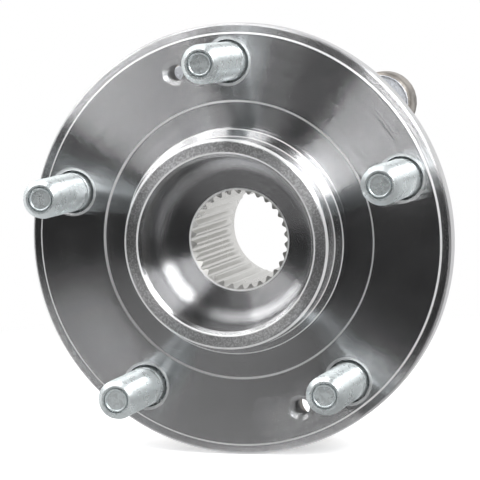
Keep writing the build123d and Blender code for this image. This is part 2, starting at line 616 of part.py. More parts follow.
os.makedirs("parts", exist_ok=True)
save(hub_flange(), "hub_flange")
save(inner_ring(), "inner_ring")
save(outer_ring(), "outer_ring")
save(cage(OUTBOARD_ROW_AT, 1), "cage_outboard")
save(cage(INBOARD_ROW_AT, -1), "cage_inboard")
save(seal_outboard_case(), "seal_outboard_case")
save(seal_outboard_lip(), "seal_outboard_lip")
save(seal_inboard_case(), "seal_inboard_case")
save(seal_inboard_lip(), "seal_inboard_lip")
save(seal_inboard_slinger(), "seal_inboard_slinger")
save(encoder_ring(), "encoder_ring")
stud = stud_blank()
for number, angle in enumerate(STUD_ANGLES, start=1):
    save(wheel_stud(stud, angle), f"wheel_stud_{number}")
for number, angle in enumerate(BALL_ANGLES, start=1):
    save(ball_shape(OUTBOARD_ROW_AT, angle, BALL_RADIUS), f"ball_outboard_{number:02d}")
    save(ball_shape(INBOARD_ROW_AT, angle, BALL_RADIUS), f"ball_inboard_{number:02d}")
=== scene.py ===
"""Visual model of a driven wheel hub bearing, laid out as a Blender add-on and run as a script.

The wheel axis is Y. The wheel side, with the studs and the open nose, is towards -Y and the vehicle
side is towards +Y. The origin is on the axis, in the plane of the brake disc face. Metres.
"""

import math

import bpy
from mathutils import Matrix, Vector


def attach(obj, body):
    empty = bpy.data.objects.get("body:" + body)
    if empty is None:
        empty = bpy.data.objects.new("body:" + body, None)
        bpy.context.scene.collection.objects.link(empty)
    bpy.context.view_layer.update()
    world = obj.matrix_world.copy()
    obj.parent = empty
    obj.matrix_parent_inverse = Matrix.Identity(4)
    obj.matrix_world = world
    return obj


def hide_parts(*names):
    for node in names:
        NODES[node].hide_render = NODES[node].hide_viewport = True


bl_info = {
    "name": "Wheel Hub Bearing",
    "version": (1, 0, 0),
    "blender": (4, 5, 0),
    "location": "View3D > Sidebar > Hub Bearing",
    "description": "Turned hub, threaded studs, forged ring and finishes of a wheel hub bearing",
    "category": "Object",
}

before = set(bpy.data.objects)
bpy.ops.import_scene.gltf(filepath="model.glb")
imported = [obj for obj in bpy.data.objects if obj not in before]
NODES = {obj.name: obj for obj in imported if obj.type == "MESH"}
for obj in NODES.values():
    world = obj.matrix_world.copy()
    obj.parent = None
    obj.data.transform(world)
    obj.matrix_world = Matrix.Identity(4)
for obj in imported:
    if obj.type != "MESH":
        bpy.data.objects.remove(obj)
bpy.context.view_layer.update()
MM = 0.001
TURN = 2 * math.pi
AXIS = Vector((0, 1, 0))
# How far a cutter reaches past the surface that it cuts
OVERRUN = MM


def length_prop(label, note, millimetres):
    """A length, given in millimetres and stored in metres."""
    return bpy.props.FloatProperty(
        name=label, description=note, default=millimetres * MM, subtype="DISTANCE", unit="LENGTH"
    )


def angle_prop(label, note, degrees):
    """An angle, given in degrees."""
    return bpy.props.FloatProperty(
        name=label, description=note, default=math.radians(degrees), subtype="ANGLE", unit="ROTATION"
    )


def factor_prop(label, note, value):
    """A share from 0 to 1."""
    return bpy.props.FloatProperty(
        name=label, description=note, default=value, min=0.0, max=1.0, subtype="FACTOR"
    )


def count_prop(label, note, value, least):
    """A whole number."""
    return bpy.props.IntProperty(name=label, description=note, default=value, min=least)


def colour_prop(label, note, value):
    """A colour of three shares."""
    return bpy.props.FloatVectorProperty(
        name=label, description=note, default=value, size=3, min=0.0, max=1.0, subtype="COLOR"
    )


class HubSizes(bpy.types.PropertyGroup):
    """Sizes of the turned hub flange."""

    flange_radius: length_prop("Flange radius", "Outer radius of the wheel flange", 65.4)
    flange_thickness: length_prop("Flange thickness", "Thickness near the stud circle", 9.0)
    rim_thickness: length_prop("Rim thickness", "Width of the cylindrical rim", 6.4)
    rim_chamfer: length_prop("Rim chamfer", "Broken edge of the rim on the wheel side", 0.7)
    rim_band_radius: length_prop("Rim band radius", "Where the disc face steps down to the rim", 62.2)
    rim_band_depth: length_prop("Rim band depth", "Depth of the rim band under the disc face", 0.5)
    face_inner_radius: length_prop("Face inner radius", "Inner edge of the disc face", 42.3)
    face_relief_depth: length_prop("Face relief depth", "Depth of the relief inside the disc face", 0.6)
    disc_pilot_radius: length_prop("Disc pilot radius", "Step that centres the brake disc", 34.0)
    disc_pilot_height: length_prop("Disc pilot height", "Height of that step", 4.6)
    pilot_cone_height: length_prop("Pilot cone height", "Cone from that step to the nose", 1.9)
    wheel_pilot_radius: length_prop("Wheel pilot radius", "Nose that centres the wheel", 31.7)
    nose_length: length_prop("Nose length", "From the disc face to the end of the nose", 14.0)
    nose_chamfer: length_prop("Nose chamfer", "Lead-in of the wheel pilot", 1.1)
    nose_land_width: length_prop("Nose land width", "Flat ring at the end of the nose", 3.2)
    dish_mouth_chamfer: length_prop("Dish mouth chamfer", "Inner edge of the nose land", 1.3)
    dish_wall_draft: length_prop("Dish wall draft", "How far the dish wall leans inwards", 0.6)
    dish_floor_at: length_prop("Dish floor", "Place of the nut seat along the axis", 2.0)
    dish_fillet: length_prop("Dish fillet", "Round between dish wall and floor", 5.0)
    bore_mouth_radius: length_prop("Bore mouth radius", "Edge of the splined bore", 15.4)
    bore_exit_width: length_prop("Bore exit width", "Cone at the bore's vehicle side, across", 1.8)
    bore_exit_depth: length_prop("Bore exit depth", "The same cone, along the axis", 1.5)
    spline_tip_radius: length_prop("Spline tip radius", "Inner radius of the teeth", 13.85)
    spline_root_radius: length_prop("Spline root radius", "Bottom of the tooth spaces", 15.0)
    spline_end_at: length_prop("Spline end", "Inboard end of the teeth", 46.0)
    spline_teeth: count_prop("Spline teeth", "Teeth round the bore", 30, 6)
    root_fillet: length_prop("Root fillet", "Round behind the flange", 2.5)
    seal_land_radius: length_prop("Seal land radius", "Where the wheel-side seal runs", 30.0)
    shoulder_radius: length_prop("Shoulder radius", "Shoulder beside the outboard balls", 29.5)
    shoulder_at: length_prop("Shoulder", "Place of that shoulder along the axis", 16.25)
    shaft_radius: length_prop("Shaft radius", "Shaft between the two rows", 25.4)
    shaft_start_at: length_prop("Shaft start", "End of the ball groove", 23.4)
    ring_seat_radius: length_prop("Ring seat radius", "Seat of the inner ring", 21.5)
    ring_seat_at: length_prop("Ring seat", "Shoulder that the inner ring rests on", 31.6)
    ring_seat_chamfer: length_prop("Ring seat chamfer", "Cone between seat and collar", 1.6)
    collar_at: length_prop("Collar", "Face that holds the inner ring", 51.0)
    collar_radius: length_prop("Collar radius", "Formed collar at the end of the shaft", 26.4)
    collar_edge: length_prop("Collar edge", "Rounded-off edge of the collar", 1.2)
    end_at: length_prop("End", "Vehicle-side end of the hub", 54.0)
    screw_crest_radius: length_prop("Screw hole radius", "Thread crests of a disc screw hole", 2.55)
    screw_root_radius: length_prop("Screw root radius", "Thread roots of a disc screw hole", 3.0)
    screw_pitch: length_prop("Screw pitch", "From one turn of that thread to the next", 1.0)
    screw_sink_radius: length_prop("Screw sink radius", "Mouth of its countersink", 3.8)
    screw_offset: angle_prop("Screw offset", "From the top stud to a disc screw hole", 18.0)
    edge_round: length_prop("Edge round", "Fine rounding of turned edges", 0.12)
    steps: count_prop("Steps", "Straight sides round the axis", 240, 48)


class StudSizes(bpy.types.PropertyGroup):
    """Sizes of the wheel studs and of their holes."""

    circle_radius: length_prop("Stud circle radius", "Circle of the stud centres", 54.0)
    first_angle: angle_prop("First angle", "Angle of the top stud", 91.9)
    thread_radius: length_prop("Thread radius", "Outer radius of the thread", 5.9)
    thread_pitch: length_prop("Thread pitch", "From one turn to the next", 1.5)
    thread_depth: length_prop("Thread depth", "Depth of the thread", 0.45)
    plain_length: length_prop("Plain length", "Length without thread beside the disc face", 3.0)
    projection: length_prop("Projection", "How far a stud stands out of the disc face", 30.0)
    tip_radius: length_prop("Tip radius", "Radius of the flat end", 4.4)
    tip_chamfer: length_prop("Tip chamfer", "Length of the cone at the end", 1.7)
    stamp_radius: length_prop("Stamp radius", "Sunk disc in the end", 2.9)
    stamp_depth: length_prop("Stamp depth", "Depth of that disc", 0.55)
    ring_radius: length_prop("Ring radius", "Raised ring round the disc", 3.4)
    ring_groove_radius: length_prop("Ring groove radius", "Groove round the raised ring", 3.8)
    ring_groove_depth: length_prop("Ring groove depth", "Depth of that groove", 1.2)
    relief_at: length_prop("Relief", "Start of the relief groove over the disc face", 2.6)
    relief_width: length_prop("Relief width", "Width of the relief groove", 0.9)
    relief_depth: length_prop("Relief depth", "Depth of the relief groove", 0.25)
    neck_depth: length_prop("Neck depth", "How much thinner the stud is in its hole", 0.1)
    collar_height: length_prop("Collar height", "How much the shank stands over the thread", 0.15)
    knurl_radius: length_prop("Knurl radius", "Outer radius of the pressed knurl", 6.45)
    knurl_length: length_prop("Knurl length", "Length of the knurl", 6.2)
    knurl_depth: length_prop("Knurl depth", "Height of its ridges", 0.35)
    knurl_ridges: count_prop("Knurl ridges", "Ridges round the stud", 28, 8)
    head_radius: length_prop("Head radius", "Radius of the head behind the flange", 9.0)
    head_height: length_prop("Head height", "Thickness of the head", 3.2)
    head_edge: length_prop("Head edge", "Bevel of the head", 0.8)
    hole_gap: length_prop("Hole gap", "Gap round the knurl at the hole's mouth", 0.1)
    sink_depth: length_prop("Sink depth", "Depth of the hole's countersink", 0.5)
    sink_width: length_prop("Sink width", "Width of the countersink in the disc face", 0.9)
    count: count_prop("Stud count", "Number of studs", 5, 3)


class RingSizes(bpy.types.PropertyGroup):
    """Sizes of the fixed outer ring."""

    start_at: length_prop("Start", "Wheel-side end of the ring", 13.0)
    end_at: length_prop("End", "Vehicle-side end of the ring", 50.9)
    body_radius: length_prop("Body radius", "Ring behind the flange", 41.6)
    pilot_radius: length_prop("Pilot radius", "Part that sits in the knuckle", 42.0)
    seal_bore_radius: length_prop("Seal bore radius", "Bore that takes the seals", 37.6)
    seal_bore_reach: length_prop("Seal bore reach", "From a row's middle to its seal bore", 1.2)
    web_radius: length_prop("Web radius", "Round plate of the knuckle flange", 59.0)
    web_edge: length_prop("Web edge", "Bevel of that plate on the wheel side", 1.5)
    ear_front_at: length_prop("Ear front", "Wheel-side face of the ears", 25.0)
    ear_thickness: length_prop("Ear thickness", "Thickness of the knuckle flange", 10.0)
    ear_circle_radius: length_prop("Ear circle radius", "Circle of the knuckle bolts", 56.0)
    ear_tip_radius: length_prop("Ear tip radius", "Round end of an ear", 9.6)
    ear_root_radius: length_prop("Ear root radius", "Round that an ear's sides touch", 17.0)
    ear_root_at: length_prop("Ear root", "Centre of that round, from the axis", 29.0)
    ear_edge: length_prop("Ear edge", "Rounding of an ear's edges", 1.6)
    ear_hole_radius: length_prop("Ear hole radius", "Bolt hole of an ear", 4.3)
    ear_hole_chamfer: length_prop("Ear hole chamfer", "Broken edge of that hole", 0.5)
    spotface_radius: length_prop("Spotface radius", "Machined seat round the bolt hole", 8.3)
    spotface_depth: length_prop("Spotface depth", "Depth of that seat", 0.6)
    first_angle: angle_prop("First angle", "Angle of the ear at the upper right", 45.0)
    ears: count_prop("Ears", "Number of ears", 3, 2)


class RowSizes(bpy.types.PropertyGroup):
    """The grooves of the two rows of balls."""

    pitch_radius: length_prop("Pitch radius", "Circle of the ball centres", 31.0)
    outboard_at: length_prop("Outboard row", "Middle of the wheel-side row", 22.5)
    inboard_at: length_prop("Inboard row", "Middle of the vehicle-side row", 40.5)
    groove_radius: length_prop("Groove radius", "Round of a raceway's section", 6.43)


class FinishColours(bpy.types.PropertyGroup):
    """Colours of the finishes."""

    turned_steel: colour_prop("Turned steel", "Bright turned steel of the hub", (0.60, 0.60, 0.61))
    # Painted highlight: this pale colour is laid on the hub's edges and countersinks in place of their
    # bright edge highlights.
    painted_edge_highlight: colour_prop("Worn edge", "Edges of the hub rubbed pale", (0.70, 0.70, 0.70))
    nose_grey: colour_prop("Nose land", "Dull speckled end of the nose", (0.385, 0.385, 0.39))
    spline_grey: colour_prop("Spline", "Broached teeth in the bore", (0.64, 0.635, 0.615))
    zinc: colour_prop("Zinc", "Blue-white plating of the studs", (0.78, 0.83, 0.84))
    forged: colour_prop("Forged skin", "Brown-grey skin of the forged ring", (0.20, 0.185, 0.17))
    machined: colour_prop("Machined ring", "Turned faces of the forged ring", (0.68, 0.70, 0.74))
    ball: colour_prop("Ball steel", "Polished balls", (0.75, 0.75, 0.76))
    cage: colour_prop("Cage plastic", "Natural moulded polyamide", (0.62, 0.56, 0.42))
    seal_steel: colour_prop("Seal steel", "Pressed sheet of the seals", (0.50, 0.49, 0.46))
    rubber: colour_prop("Rubber", "Black rubber of lips and encoder", (0.028, 0.028, 0.03))


class StageSettings(bpy.types.PropertyGroup):
    """Camera, floor and studio."""

    azimuth: angle_prop("Azimuth", "Camera to the right of the wheel side", 15.43)
    elevation: angle_prop("Elevation", "Camera above the wheel axis", 5.17)
    roll: angle_prop("Roll", "Camera's turn about its own line of sight", 1.51)
    distance: length_prop("Distance", "From the camera to the hub", 823.0)
    lens: bpy.props.FloatProperty(
        name="Lens", description="Focal length on a 36 mm sensor", default=204.66, min=20.0
    )
    aim: bpy.props.FloatVectorProperty(
        name="Aim", description="Point that the camera looks at", default=(0.0008, 0.00023, 0.00007),
        subtype="XYZ", unit="LENGTH",
    )
    lamp_distance: length_prop("Lamp distance", "From each lamp to the hub", 1000.0)
    room_grey: factor_prop("Room grey", "Grey of the dark studio round the hub", 0.036)
    floor_at: length_prop("Floor height", "Height of the floor under the flange", -65.4)
    floor_size: length_prop("Floor size", "Width of the floor", 6000.0)
    floor_glow: factor_prop("Floor glow", "Light added to the floor and its shadow", 0.38)
    shadow_radius: length_prop("Shadow radius", "Where the floor starts to turn plain white", 120.0)
    white_radius: length_prop("White radius", "Where it is plain white", 350.0)
    card_x: length_prop("Card x", "Middle of the patch that the metal sees grey", -143.0)
    card_y: length_prop("Card y", "Middle of that patch along the axis", -102.0)
    card_radius: length_prop("Card radius", "Radius of that patch", 119.0)
    card_fade_radius: length_prop("Card fade radius", "Where the patch has faded to dark", 233.0)
    card_grey: factor_prop("Card grey", "Grey of the patch as the metal sees it", 0.39)
    card_dark: factor_prop("Card surround", "Grey of the floor round the patch", 0.03)
    strip_depth: length_prop("Strip depth", "Fade of the white floor behind the disc face", 6.0)
    strip_grey: factor_prop("Strip grey", "Grey of that floor as the metal sees it", 0.9)


# Modelling, one step at a time, as by hand


def pick_none():
    """Leaves edit mode with nothing selected."""
    if bpy.context.object and bpy.context.object.mode != "OBJECT":
        bpy.ops.object.mode_set(mode="OBJECT")
    bpy.ops.object.select_all(action="DESELECT")


def pick(piece):
    """Makes one object the selected and active one."""
    pick_none()
    piece.select_set(True)
    bpy.context.view_layer.objects.active = piece


def new_point(name, place):
    """A mesh of one vertex: a small plane drawn together in edit mode."""
    pick_none()
    bpy.ops.mesh.primitive_plane_add(size=MM, location=place)
    piece = bpy.context.object
    piece.name = name
    bpy.ops.object.transform_apply(location=True, rotation=True, scale=True)
    bpy.ops.object.mode_set(mode="EDIT")
    bpy.ops.mesh.select_mode(type="VERT")
    bpy.ops.mesh.select_all(action="SELECT")
    bpy.ops.mesh.merge(type="CENTER")
    return piece


def draw_outline(name, points):
    """An open wire through the points, drawn by extruding one vertex from each to the next."""
    piece = new_point(name, points[0])
    for start, end in zip(points, points[1:]):
        step = Vector(end) - Vector(start)
        bpy.ops.mesh.extrude_vertices_move(TRANSFORM_OT_translate={"value": step})
    return piece


def draw_loop(name, points):
    """A closed wire through the points."""
    piece = draw_outline(name, points + [points[0]])
    bpy.ops.mesh.select_all(action="SELECT")
    bpy.ops.mesh.remove_doubles(threshold=MM / 500)
    return piece


def rounded(corners, segments=3):
    """Half-section points from (radius, at, round) corners, each corner rounded by an arc.

    Two helper points beside each arc keep the shading of the flat runs flat.
    """
    points = []
    count = len(corners)
    for i, (radius, at, size) in enumerate(corners):
        here = Vector((radius, at))
        before = Vector(corners[i - 1][:2]) - here
        after = Vector(corners[(i + 1) % count][:2]) - here
        if size <= 0 or before.angle(after) > math.radians(179):
            points.append(here)
            continue
        half = before.angle(after) / 2
        reach = size / math.tan(half)
        inward = (before.normalized() + after.normalized()).normalized()
        middle = here + inward * (size / math.sin(half))
        first = here + before.normalized() * reach - middle
        last = here + after.normalized() * reach - middle
        sweep = first.angle_signed(last)
        points.append(middle + first + before.normalized() * size * 0.4)
        for k in range(segments + 1):
            spoke = first.copy()
            spoke.rotate(Matrix.Rotation(-sweep * k / segments, 2))
            points.append(middle + spoke)
        points.append(middle + last + after.normalized() * size * 0.4)
    return points


def arc(centre, size, start, end, segments):
    """Half-section points of an arc between two angles in degrees."""
    points = []
    for k in range(segments + 1):
        angle = math.radians(start + (end - start) * k / segments)
        points.append(Vector((centre[0] + size * math.cos(angle), centre[1] + size * math.sin(angle))))
    return points


def clean_shell(piece):
    """Merges doubled vertices and turns all faces outwards."""
    bpy.ops.mesh.select_all(action="SELECT")
    bpy.ops.mesh.remove_doubles(threshold=MM / 500)
    bpy.ops.mesh.delete_loose()
    bpy.ops.mesh.select_all(action="SELECT")
    bpy.ops.mesh.normals_make_consistent(inside=False)
    bpy.ops.object.mode_set(mode="OBJECT")
    return piece


def spun(name, section, steps, closed=True):
    """A solid of revolution about the wheel axis from half-section points."""
    points = [(p[0], p[1], 0.0) for p in section]
    if closed:
        points.append(points[0])
    piece = draw_outline(name, points)
    bpy.ops.mesh.select_all(action="SELECT")
    bpy.ops.mesh.spin(steps=steps, angle=TURN, center=(0, 0, 0), axis=AXIS)
    return clean_shell(piece)


def bar(name, outline, length):
    """A closed outline drawn out along the wheel axis into a solid."""
    piece = draw_loop(name, outline)
    bpy.ops.mesh.edge_face_add()
    bpy.ops.mesh.extrude_region_move(TRANSFORM_OT_translate={"value": (0, length, 0)})
    return clean_shell(piece)


def moved(piece, offset):
    """Moves the mesh of a piece and leaves its object at the origin."""
    pick(piece)
    bpy.ops.transform.translate(value=offset)
    bpy.ops.object.transform_apply(location=True, rotation=True, scale=True)
    return piece


def turned(piece, angle):
    """Turns the mesh of a piece about the wheel axis, from +X towards +Z."""
    pick(piece)
    piece.rotation_euler = (0, -angle, 0)
    bpy.ops.object.transform_apply(location=True, rotation=True, scale=True)
    return piece


def copied(piece, name):
    """A copy of a piece with a mesh of its own."""
    pick(piece)
    bpy.ops.object.duplicate(linked=False)
    double = bpy.context.object
    double.name = name
    return double


def joined(pieces, name):
    """One object out of several."""
    pick_none()
    for piece in pieces:
        piece.select_set(True)
    bpy.context.view_layer.objects.active = pieces[0]
    bpy.ops.object.join()
    pieces[0].name = name
    return pieces[0]


def combine(piece, tool, operation):
    """Cuts a tool from a piece, or adds it, by a Boolean modifier, and removes the tool."""
    pick(piece)
    step = piece.modifiers.new("combine", "BOOLEAN")
    step.operation = operation
    step.object = tool
    step.solver = "EXACT"
    bpy.ops.object.modifier_apply(modifier=step.name)
    pick(tool)
    bpy.ops.object.delete()
    if not piece.data.polygons:
        raise RuntimeError(f"{piece.name} has no faces left after {operation}")
    return piece


def on_circle(radius, angle, at=0.0):
    """A point at an angle from +X towards +Z, as seen from the wheel side."""
    return Vector((radius * math.cos(angle), at, radius * math.sin(angle)))


def smoothed(piece, degrees=32):
    """Smooth shading with every edge sharper than the angle kept."""
    pick(piece)
    bpy.ops.object.shade_smooth_by_angle(angle=math.radians(degrees))
    even = piece.modifiers.new("even", "WEIGHTED_NORMAL")
    even.keep_sharp = True
    bpy.ops.object.modifier_apply(modifier=even.name)
    pick_none()
    return piece


# Finishes


class Value:
    """An output of a shader node; arithmetic on it adds Math nodes."""

    def __init__(self, nodes, socket):
        self.nodes = nodes
        self.socket = socket

    def maths(self, operation, first, second):
        """The output of a Math node."""
        return self.nodes.node("ShaderNodeMath", {"operation": operation}, {0: first, 1: second})

    def __add__(self, other):
        return self.maths("ADD", self, other)

    __radd__ = __add__

    def __sub__(self, other):
        return self.maths("SUBTRACT", self, other)

    def __rsub__(self, other):
        return self.maths("SUBTRACT", other, self)

    def __mul__(self, other):
        return self.maths("MULTIPLY", self, other)

    __rmul__ = __mul__

    def above(self, limit):
        """1 where the value is over the limit, else 0."""
        return self.maths("GREATER_THAN", self, limit)

    def below(self, limit):
        """1 where the value is under the limit, else 0."""
        return self.maths("LESS_THAN", self, limit)

    def at_least(self, other):
        """The larger of two values."""
        return self.maths("MAXIMUM", self, other)

    def at_most(self, other):
        """The smaller of two values."""
        return self.maths("MINIMUM", self, other)

    def ramp(self, low, high, start=0.0, end=1.0):
        """Runs smoothly from start to end while the value goes from low to high."""
        return self.nodes.node(
            "ShaderNodeMapRange", {"interpolation_type": "SMOOTHSTEP", "clamp": True},
            {"Value": self, "From Min": low, "From Max": high, "To Min": start, "To Max": end},
            "Result",
        )


class ShaderNodes:
    """The nodes of a material or of the world, put together by node()."""

    def __init__(self, tree):
        self.tree = tree

    def node(self, kind, settings, sockets, output=0):
        """Adds a node, sets it up, and links or fills the named sockets; returns one output."""
        made = self.tree.nodes.new(kind)
        for name, setting in settings.items():
            setattr(made, name, setting)
        self.feed(made, sockets)
        return Value(self, made.outputs[output])

    def feed(self, made, sockets):
        """Links or fills the named sockets of a node."""
        for name, given in sockets.items():
            if given is None:
                continue
            if isinstance(given, Value):
                self.tree.links.new(given.socket, made.inputs[name])
            else:
                made.inputs[name].default_value = given

    def parts(self, vector):
        """The x, y and z of a vector."""
        first = self.node("ShaderNodeSeparateXYZ", {}, {0: vector}, "X")
        split = first.socket.node
        return first, Value(self, split.outputs["Y"]), Value(self, split.outputs["Z"])

    def vector(self, x, y, z):
        """A vector from its parts."""
        return self.node("ShaderNodeCombineXYZ", {}, {"X": x, "Y": y, "Z": z})

    def vectors(self, operation, first, second=None, scale=None, output=0):
        """The output of a Vector Math node."""
        sockets = {0: first, 1: second, "Scale": scale}
        return self.node("ShaderNodeVectorMath", {"operation": operation}, sockets, output)

    def distance(self, first, second):
        """The distance between two points."""
        return self.vectors("DISTANCE", first, second, output="Value")

    def ray(self, kind):
        """1 for one kind of light ray, else 0."""
        return self.node("ShaderNodeLightPath", {}, {}, kind)

    def emission(self, colour, strength=1.0):
        """A shader that gives light."""
        return self.node("ShaderNodeEmission", {}, {"Color": colour, "Strength": strength})

    def mix_shaders(self, share, first, second):
        """A shader between two, by a share."""
        return self.node("ShaderNodeMixShader", {}, {0: share, 1: first, 2: second})


class Finish(ShaderNodes):
    """A node-based material with one Principled shader."""

    def __init__(self, slot):
        self.material = bpy.data.materials.new(slot)
        self.material.use_nodes = True
        super().__init__(self.material.node_tree)
        self.shader = self.tree.nodes["Principled BSDF"]

    def surface(self, **sockets):
        """Feeds the Principled shader; underscores stand for the spaces in socket names."""
        self.feed(self.shader, {name.replace("_", " "): given for name, given in sockets.items()})
        return self.material

    def place(self):
        """Object coordinates."""
        return self.node("ShaderNodeTexCoord", {}, {}, "Object")

    def facing(self):
        """How far a surface faces the vehicle side: -1 where it faces the wheel side."""
        return self.parts(self.node("ShaderNodeNewGeometry", {}, {}, "Normal"))[1]

    def mix(self, share, first, second):
        """A colour between two, by a share."""
        return self.node(
            "ShaderNodeMix", {"data_type": "RGBA"}, {"Factor": share, 6: first, 7: second}, 2
        )

    def noise(self, vector, scale, detail=2.0, roughness=0.5):
        """Noise with a mean of 0.5 and a scale in waves a metre."""
        return self.node(
            "ShaderNodeTexNoise", {},
            {"Vector": vector, "Scale": scale, "Detail": detail, "Roughness": roughness}, "Fac",
        )

    def bump(self, height, distance, strength=1.0, normal=None):
        """The surface normal on a relief."""
        return self.node(
            "ShaderNodeBump", {},
            {"Height": height, "Distance": distance, "Strength": strength, "Normal": normal}, "Normal",
        )


def rgba(colour, scale=1.0):
    """A colour property as four numbers."""
    return (colour[0] * scale, colour[1] * scale, colour[2] * scale, 1.0)


def grey(value):
    """A grey as four numbers."""
    return (value, value, value, 1.0)


class Lathe:
    """What a surface turned about the wheel axis needs: its radius, place and half section."""

    def __init__(self, finish):
        self.finish = finish
        self.place = finish.place()
        x, self.at, z = finish.parts(self.place)
        self.flat = finish.vector(x, 0.0, z)
        self.radius = finish.vectors("LENGTH", self.flat, output="Value")
        self.outward = finish.vectors("NORMALIZE", self.flat)
        self.section = finish.vector(self.radius, self.at, 0.0)

    def from_holes(self, centres):
        """Distance across the axis to the nearest of several hole centres."""
        nearest = 1.0
        for centre in centres:
            nearest = self.finish.distance(self.flat, centre).at_most(nearest)
        return nearest

    def near(self, radius, at, reach):
        """1 beside a corner of the half section, 0 further off than the reach."""
        gap = self.finish.distance(self.section, (radius, at, 0.0))
        return gap.ramp(reach * 0.8, reach, 1.0, 0.0)

    def grooved(self, spread, lean=0.0, pitch=0.0015 * MM):
        """The surface normal tipped in and out by fine tool marks that run round the axis."""
        finish = self.finish
        world = finish.node("ShaderNodeNewGeometry", {}, {}, "Normal")
        normal = self.converted(world, "WORLD", "OBJECT")
        along = finish.vectors("NORMALIZE", finish.vectors("CROSS_PRODUCT", AXIS, self.outward))
        across = finish.vectors("CROSS_PRODUCT", normal, along)
        marks = finish.noise(self.section, 1 / pitch, detail=1.0) - 0.5
        tipped = finish.vectors("SCALE", across, scale=marks * spread + lean)
        mixed = finish.vectors("NORMALIZE", finish.vectors("ADD", normal, tipped))
        return self.converted(mixed, "OBJECT", "WORLD")

    def converted(self, normal, start, end):
        """A normal taken from one space to another."""
        spaces = {"vector_type": "NORMAL", "convert_from": start, "convert_to": end}
        return self.finish.node("ShaderNodeVectorTransform", spaces, {0: normal})


def nose_land(hub):
    """Inner and outer radius of the flat ring at the end of the nose."""
    outer = hub.wheel_pilot_radius - hub.nose_chamfer
    return outer - hub.nose_land_width, outer


def pilot_cone_at(hub):
    """Where the wheel pilot starts, on top of the disc pilot's cone."""
    return -(hub.disc_pilot_height + hub.pilot_cone_height)


def highlight_corners(hub):
    """Edges that get a painted highlight, as radius, place along the axis and reach."""
    nose = -hub.nose_length
    land_inner, land_outer = nose_land(hub)
    step = hub.rim_band_depth
    relief = hub.face_relief_depth
    return [
        (land_outer + 0.5 * MM, nose + 0.5 * MM, 0.55 * MM),
        (land_inner - 0.1 * MM, nose + 0.1 * MM, 0.35 * MM),
        (hub.wheel_pilot_radius, pilot_cone_at(hub), 0.35 * MM),
        (hub.disc_pilot_radius, -hub.disc_pilot_height, 0.4 * MM),
        (hub.face_inner_radius - relief / 2, relief / 2, 0.48 * MM),
        (hub.rim_band_radius + step / 2, step / 2, 0.42 * MM),
        (hub.bore_mouth_radius, hub.dish_floor_at, 0.35 * MM),
    ]


def stud_centres(stud):
    """The places of the studs, clockwise from the top one as seen from the wheel side."""
    return [
        on_circle(stud.circle_radius, stud.first_angle - TURN / stud.count * i)
        for i in range(stud.count)
    ]


def screw_centres(hub, stud):
    """The two disc screw holes on the stud circle, half a turn apart."""
    angle = stud.first_angle + hub.screw_offset
    return [on_circle(stud.circle_radius, angle + math.pi * i) for i in range(2)]


def painted_highlight_share(lathe, hub, stud):
    """How much painted highlight an edge or a countersink of the hub gets, from 0 to 1."""
    highlight = 0.0
    for corner in highlight_corners(hub):
        highlight = lathe.near(*corner) + highlight
    margin = 0.05 * MM
    hole = stud.knurl_radius + stud.hole_gap
    from_stud = lathe.from_holes(stud_centres(stud))
    sink = from_stud.above(hole + margin) * from_stud.below(hole + stud.sink_width + margin)
    from_screw = lathe.from_holes(screw_centres(hub, stud))
    screw_sink = from_screw.below(hub.screw_sink_radius + 0.2 * MM)
    return (highlight + sink * 0.55 + screw_sink * 0.4).ramp(0.0, 1.0)


def turned_hub_finish(colours, hub, stud):
    """Bright steel turned on a lathe: fine marks round the axis, dull nose land, broached bore."""
    finish = Finish("turned_hub_steel")
    lathe = Lathe(finish)
    radius, at = lathe.radius, lathe.at
    land_inner = nose_land(hub)[0]
    land = at.below(0.05 * MM - hub.nose_length) * radius.above(land_inner + 0.1 * MM)
    bore = radius.below(hub.bore_mouth_radius + 0.03 * MM) * at.above(hub.dish_floor_at - 0.1 * MM)
    dish = radius.below(land_inner - 0.1 * MM)
    band = radius.above(hub.rim_band_radius + hub.rim_band_depth)
    rim = radius.above(hub.flange_radius - 0.35 * MM)
    # Painted highlight: thin pale rings on edges and countersinks, with less metal and more roughness,
    # stand in for bright edge highlights.
    edges = painted_highlight_share(lathe, hub, stud)

    fine = finish.noise(lathe.section, 2600.0, 3.0, 0.6)
    bands = finish.noise(lathe.section, 420.0, 2.0, 0.5)
    cloud = finish.noise(lathe.place, 90.0, 3.0, 0.55)
    specks = finish.noise(lathe.place, 2400.0, 2.0, 0.7)
    tone = (fine - 0.5) * 0.05 + (bands - 0.5) * 0.07 + (cloud - 0.5) * 0.14 + 1.0
    steel = finish.vectors("SCALE", tuple(colours.turned_steel), scale=tone)
    dull = finish.mix(specks.ramp(0.42, 0.62), rgba(colours.nose_grey), rgba(colours.nose_grey, 1.7))
    colour = finish.mix(land, finish.mix(bore, steel, rgba(colours.spline_grey)), dull)
    # The painted highlight colour goes on the edges and countersinks.
    colour = finish.mix(edges, colour, rgba(colours.painted_edge_highlight))

    roughness = cloud.ramp(0.3, 0.7, 0.16, 0.19) + land * 0.18 + bore * 0.11 + rim * 0.14
    marks = (1 - bore) * (1 - rim * 0.6) * (1 - band * 0.12) * (1 - land * 0.15)
    marks = marks * (1 - dish * 0.2) * (1 - edges * 0.6) * 3.8
    height = bands * 0.012 + specks * (land * 2.0 + 0.02)
    return finish.surface(
        Base_Color=colour, Metallic=1 - edges * 0.55 - bore * 0.1, Roughness=roughness + edges * 0.15,
        Normal=finish.bump(height, 0.012 * MM, 0.6, lathe.grooved(marks, lean=0.02)),
    )


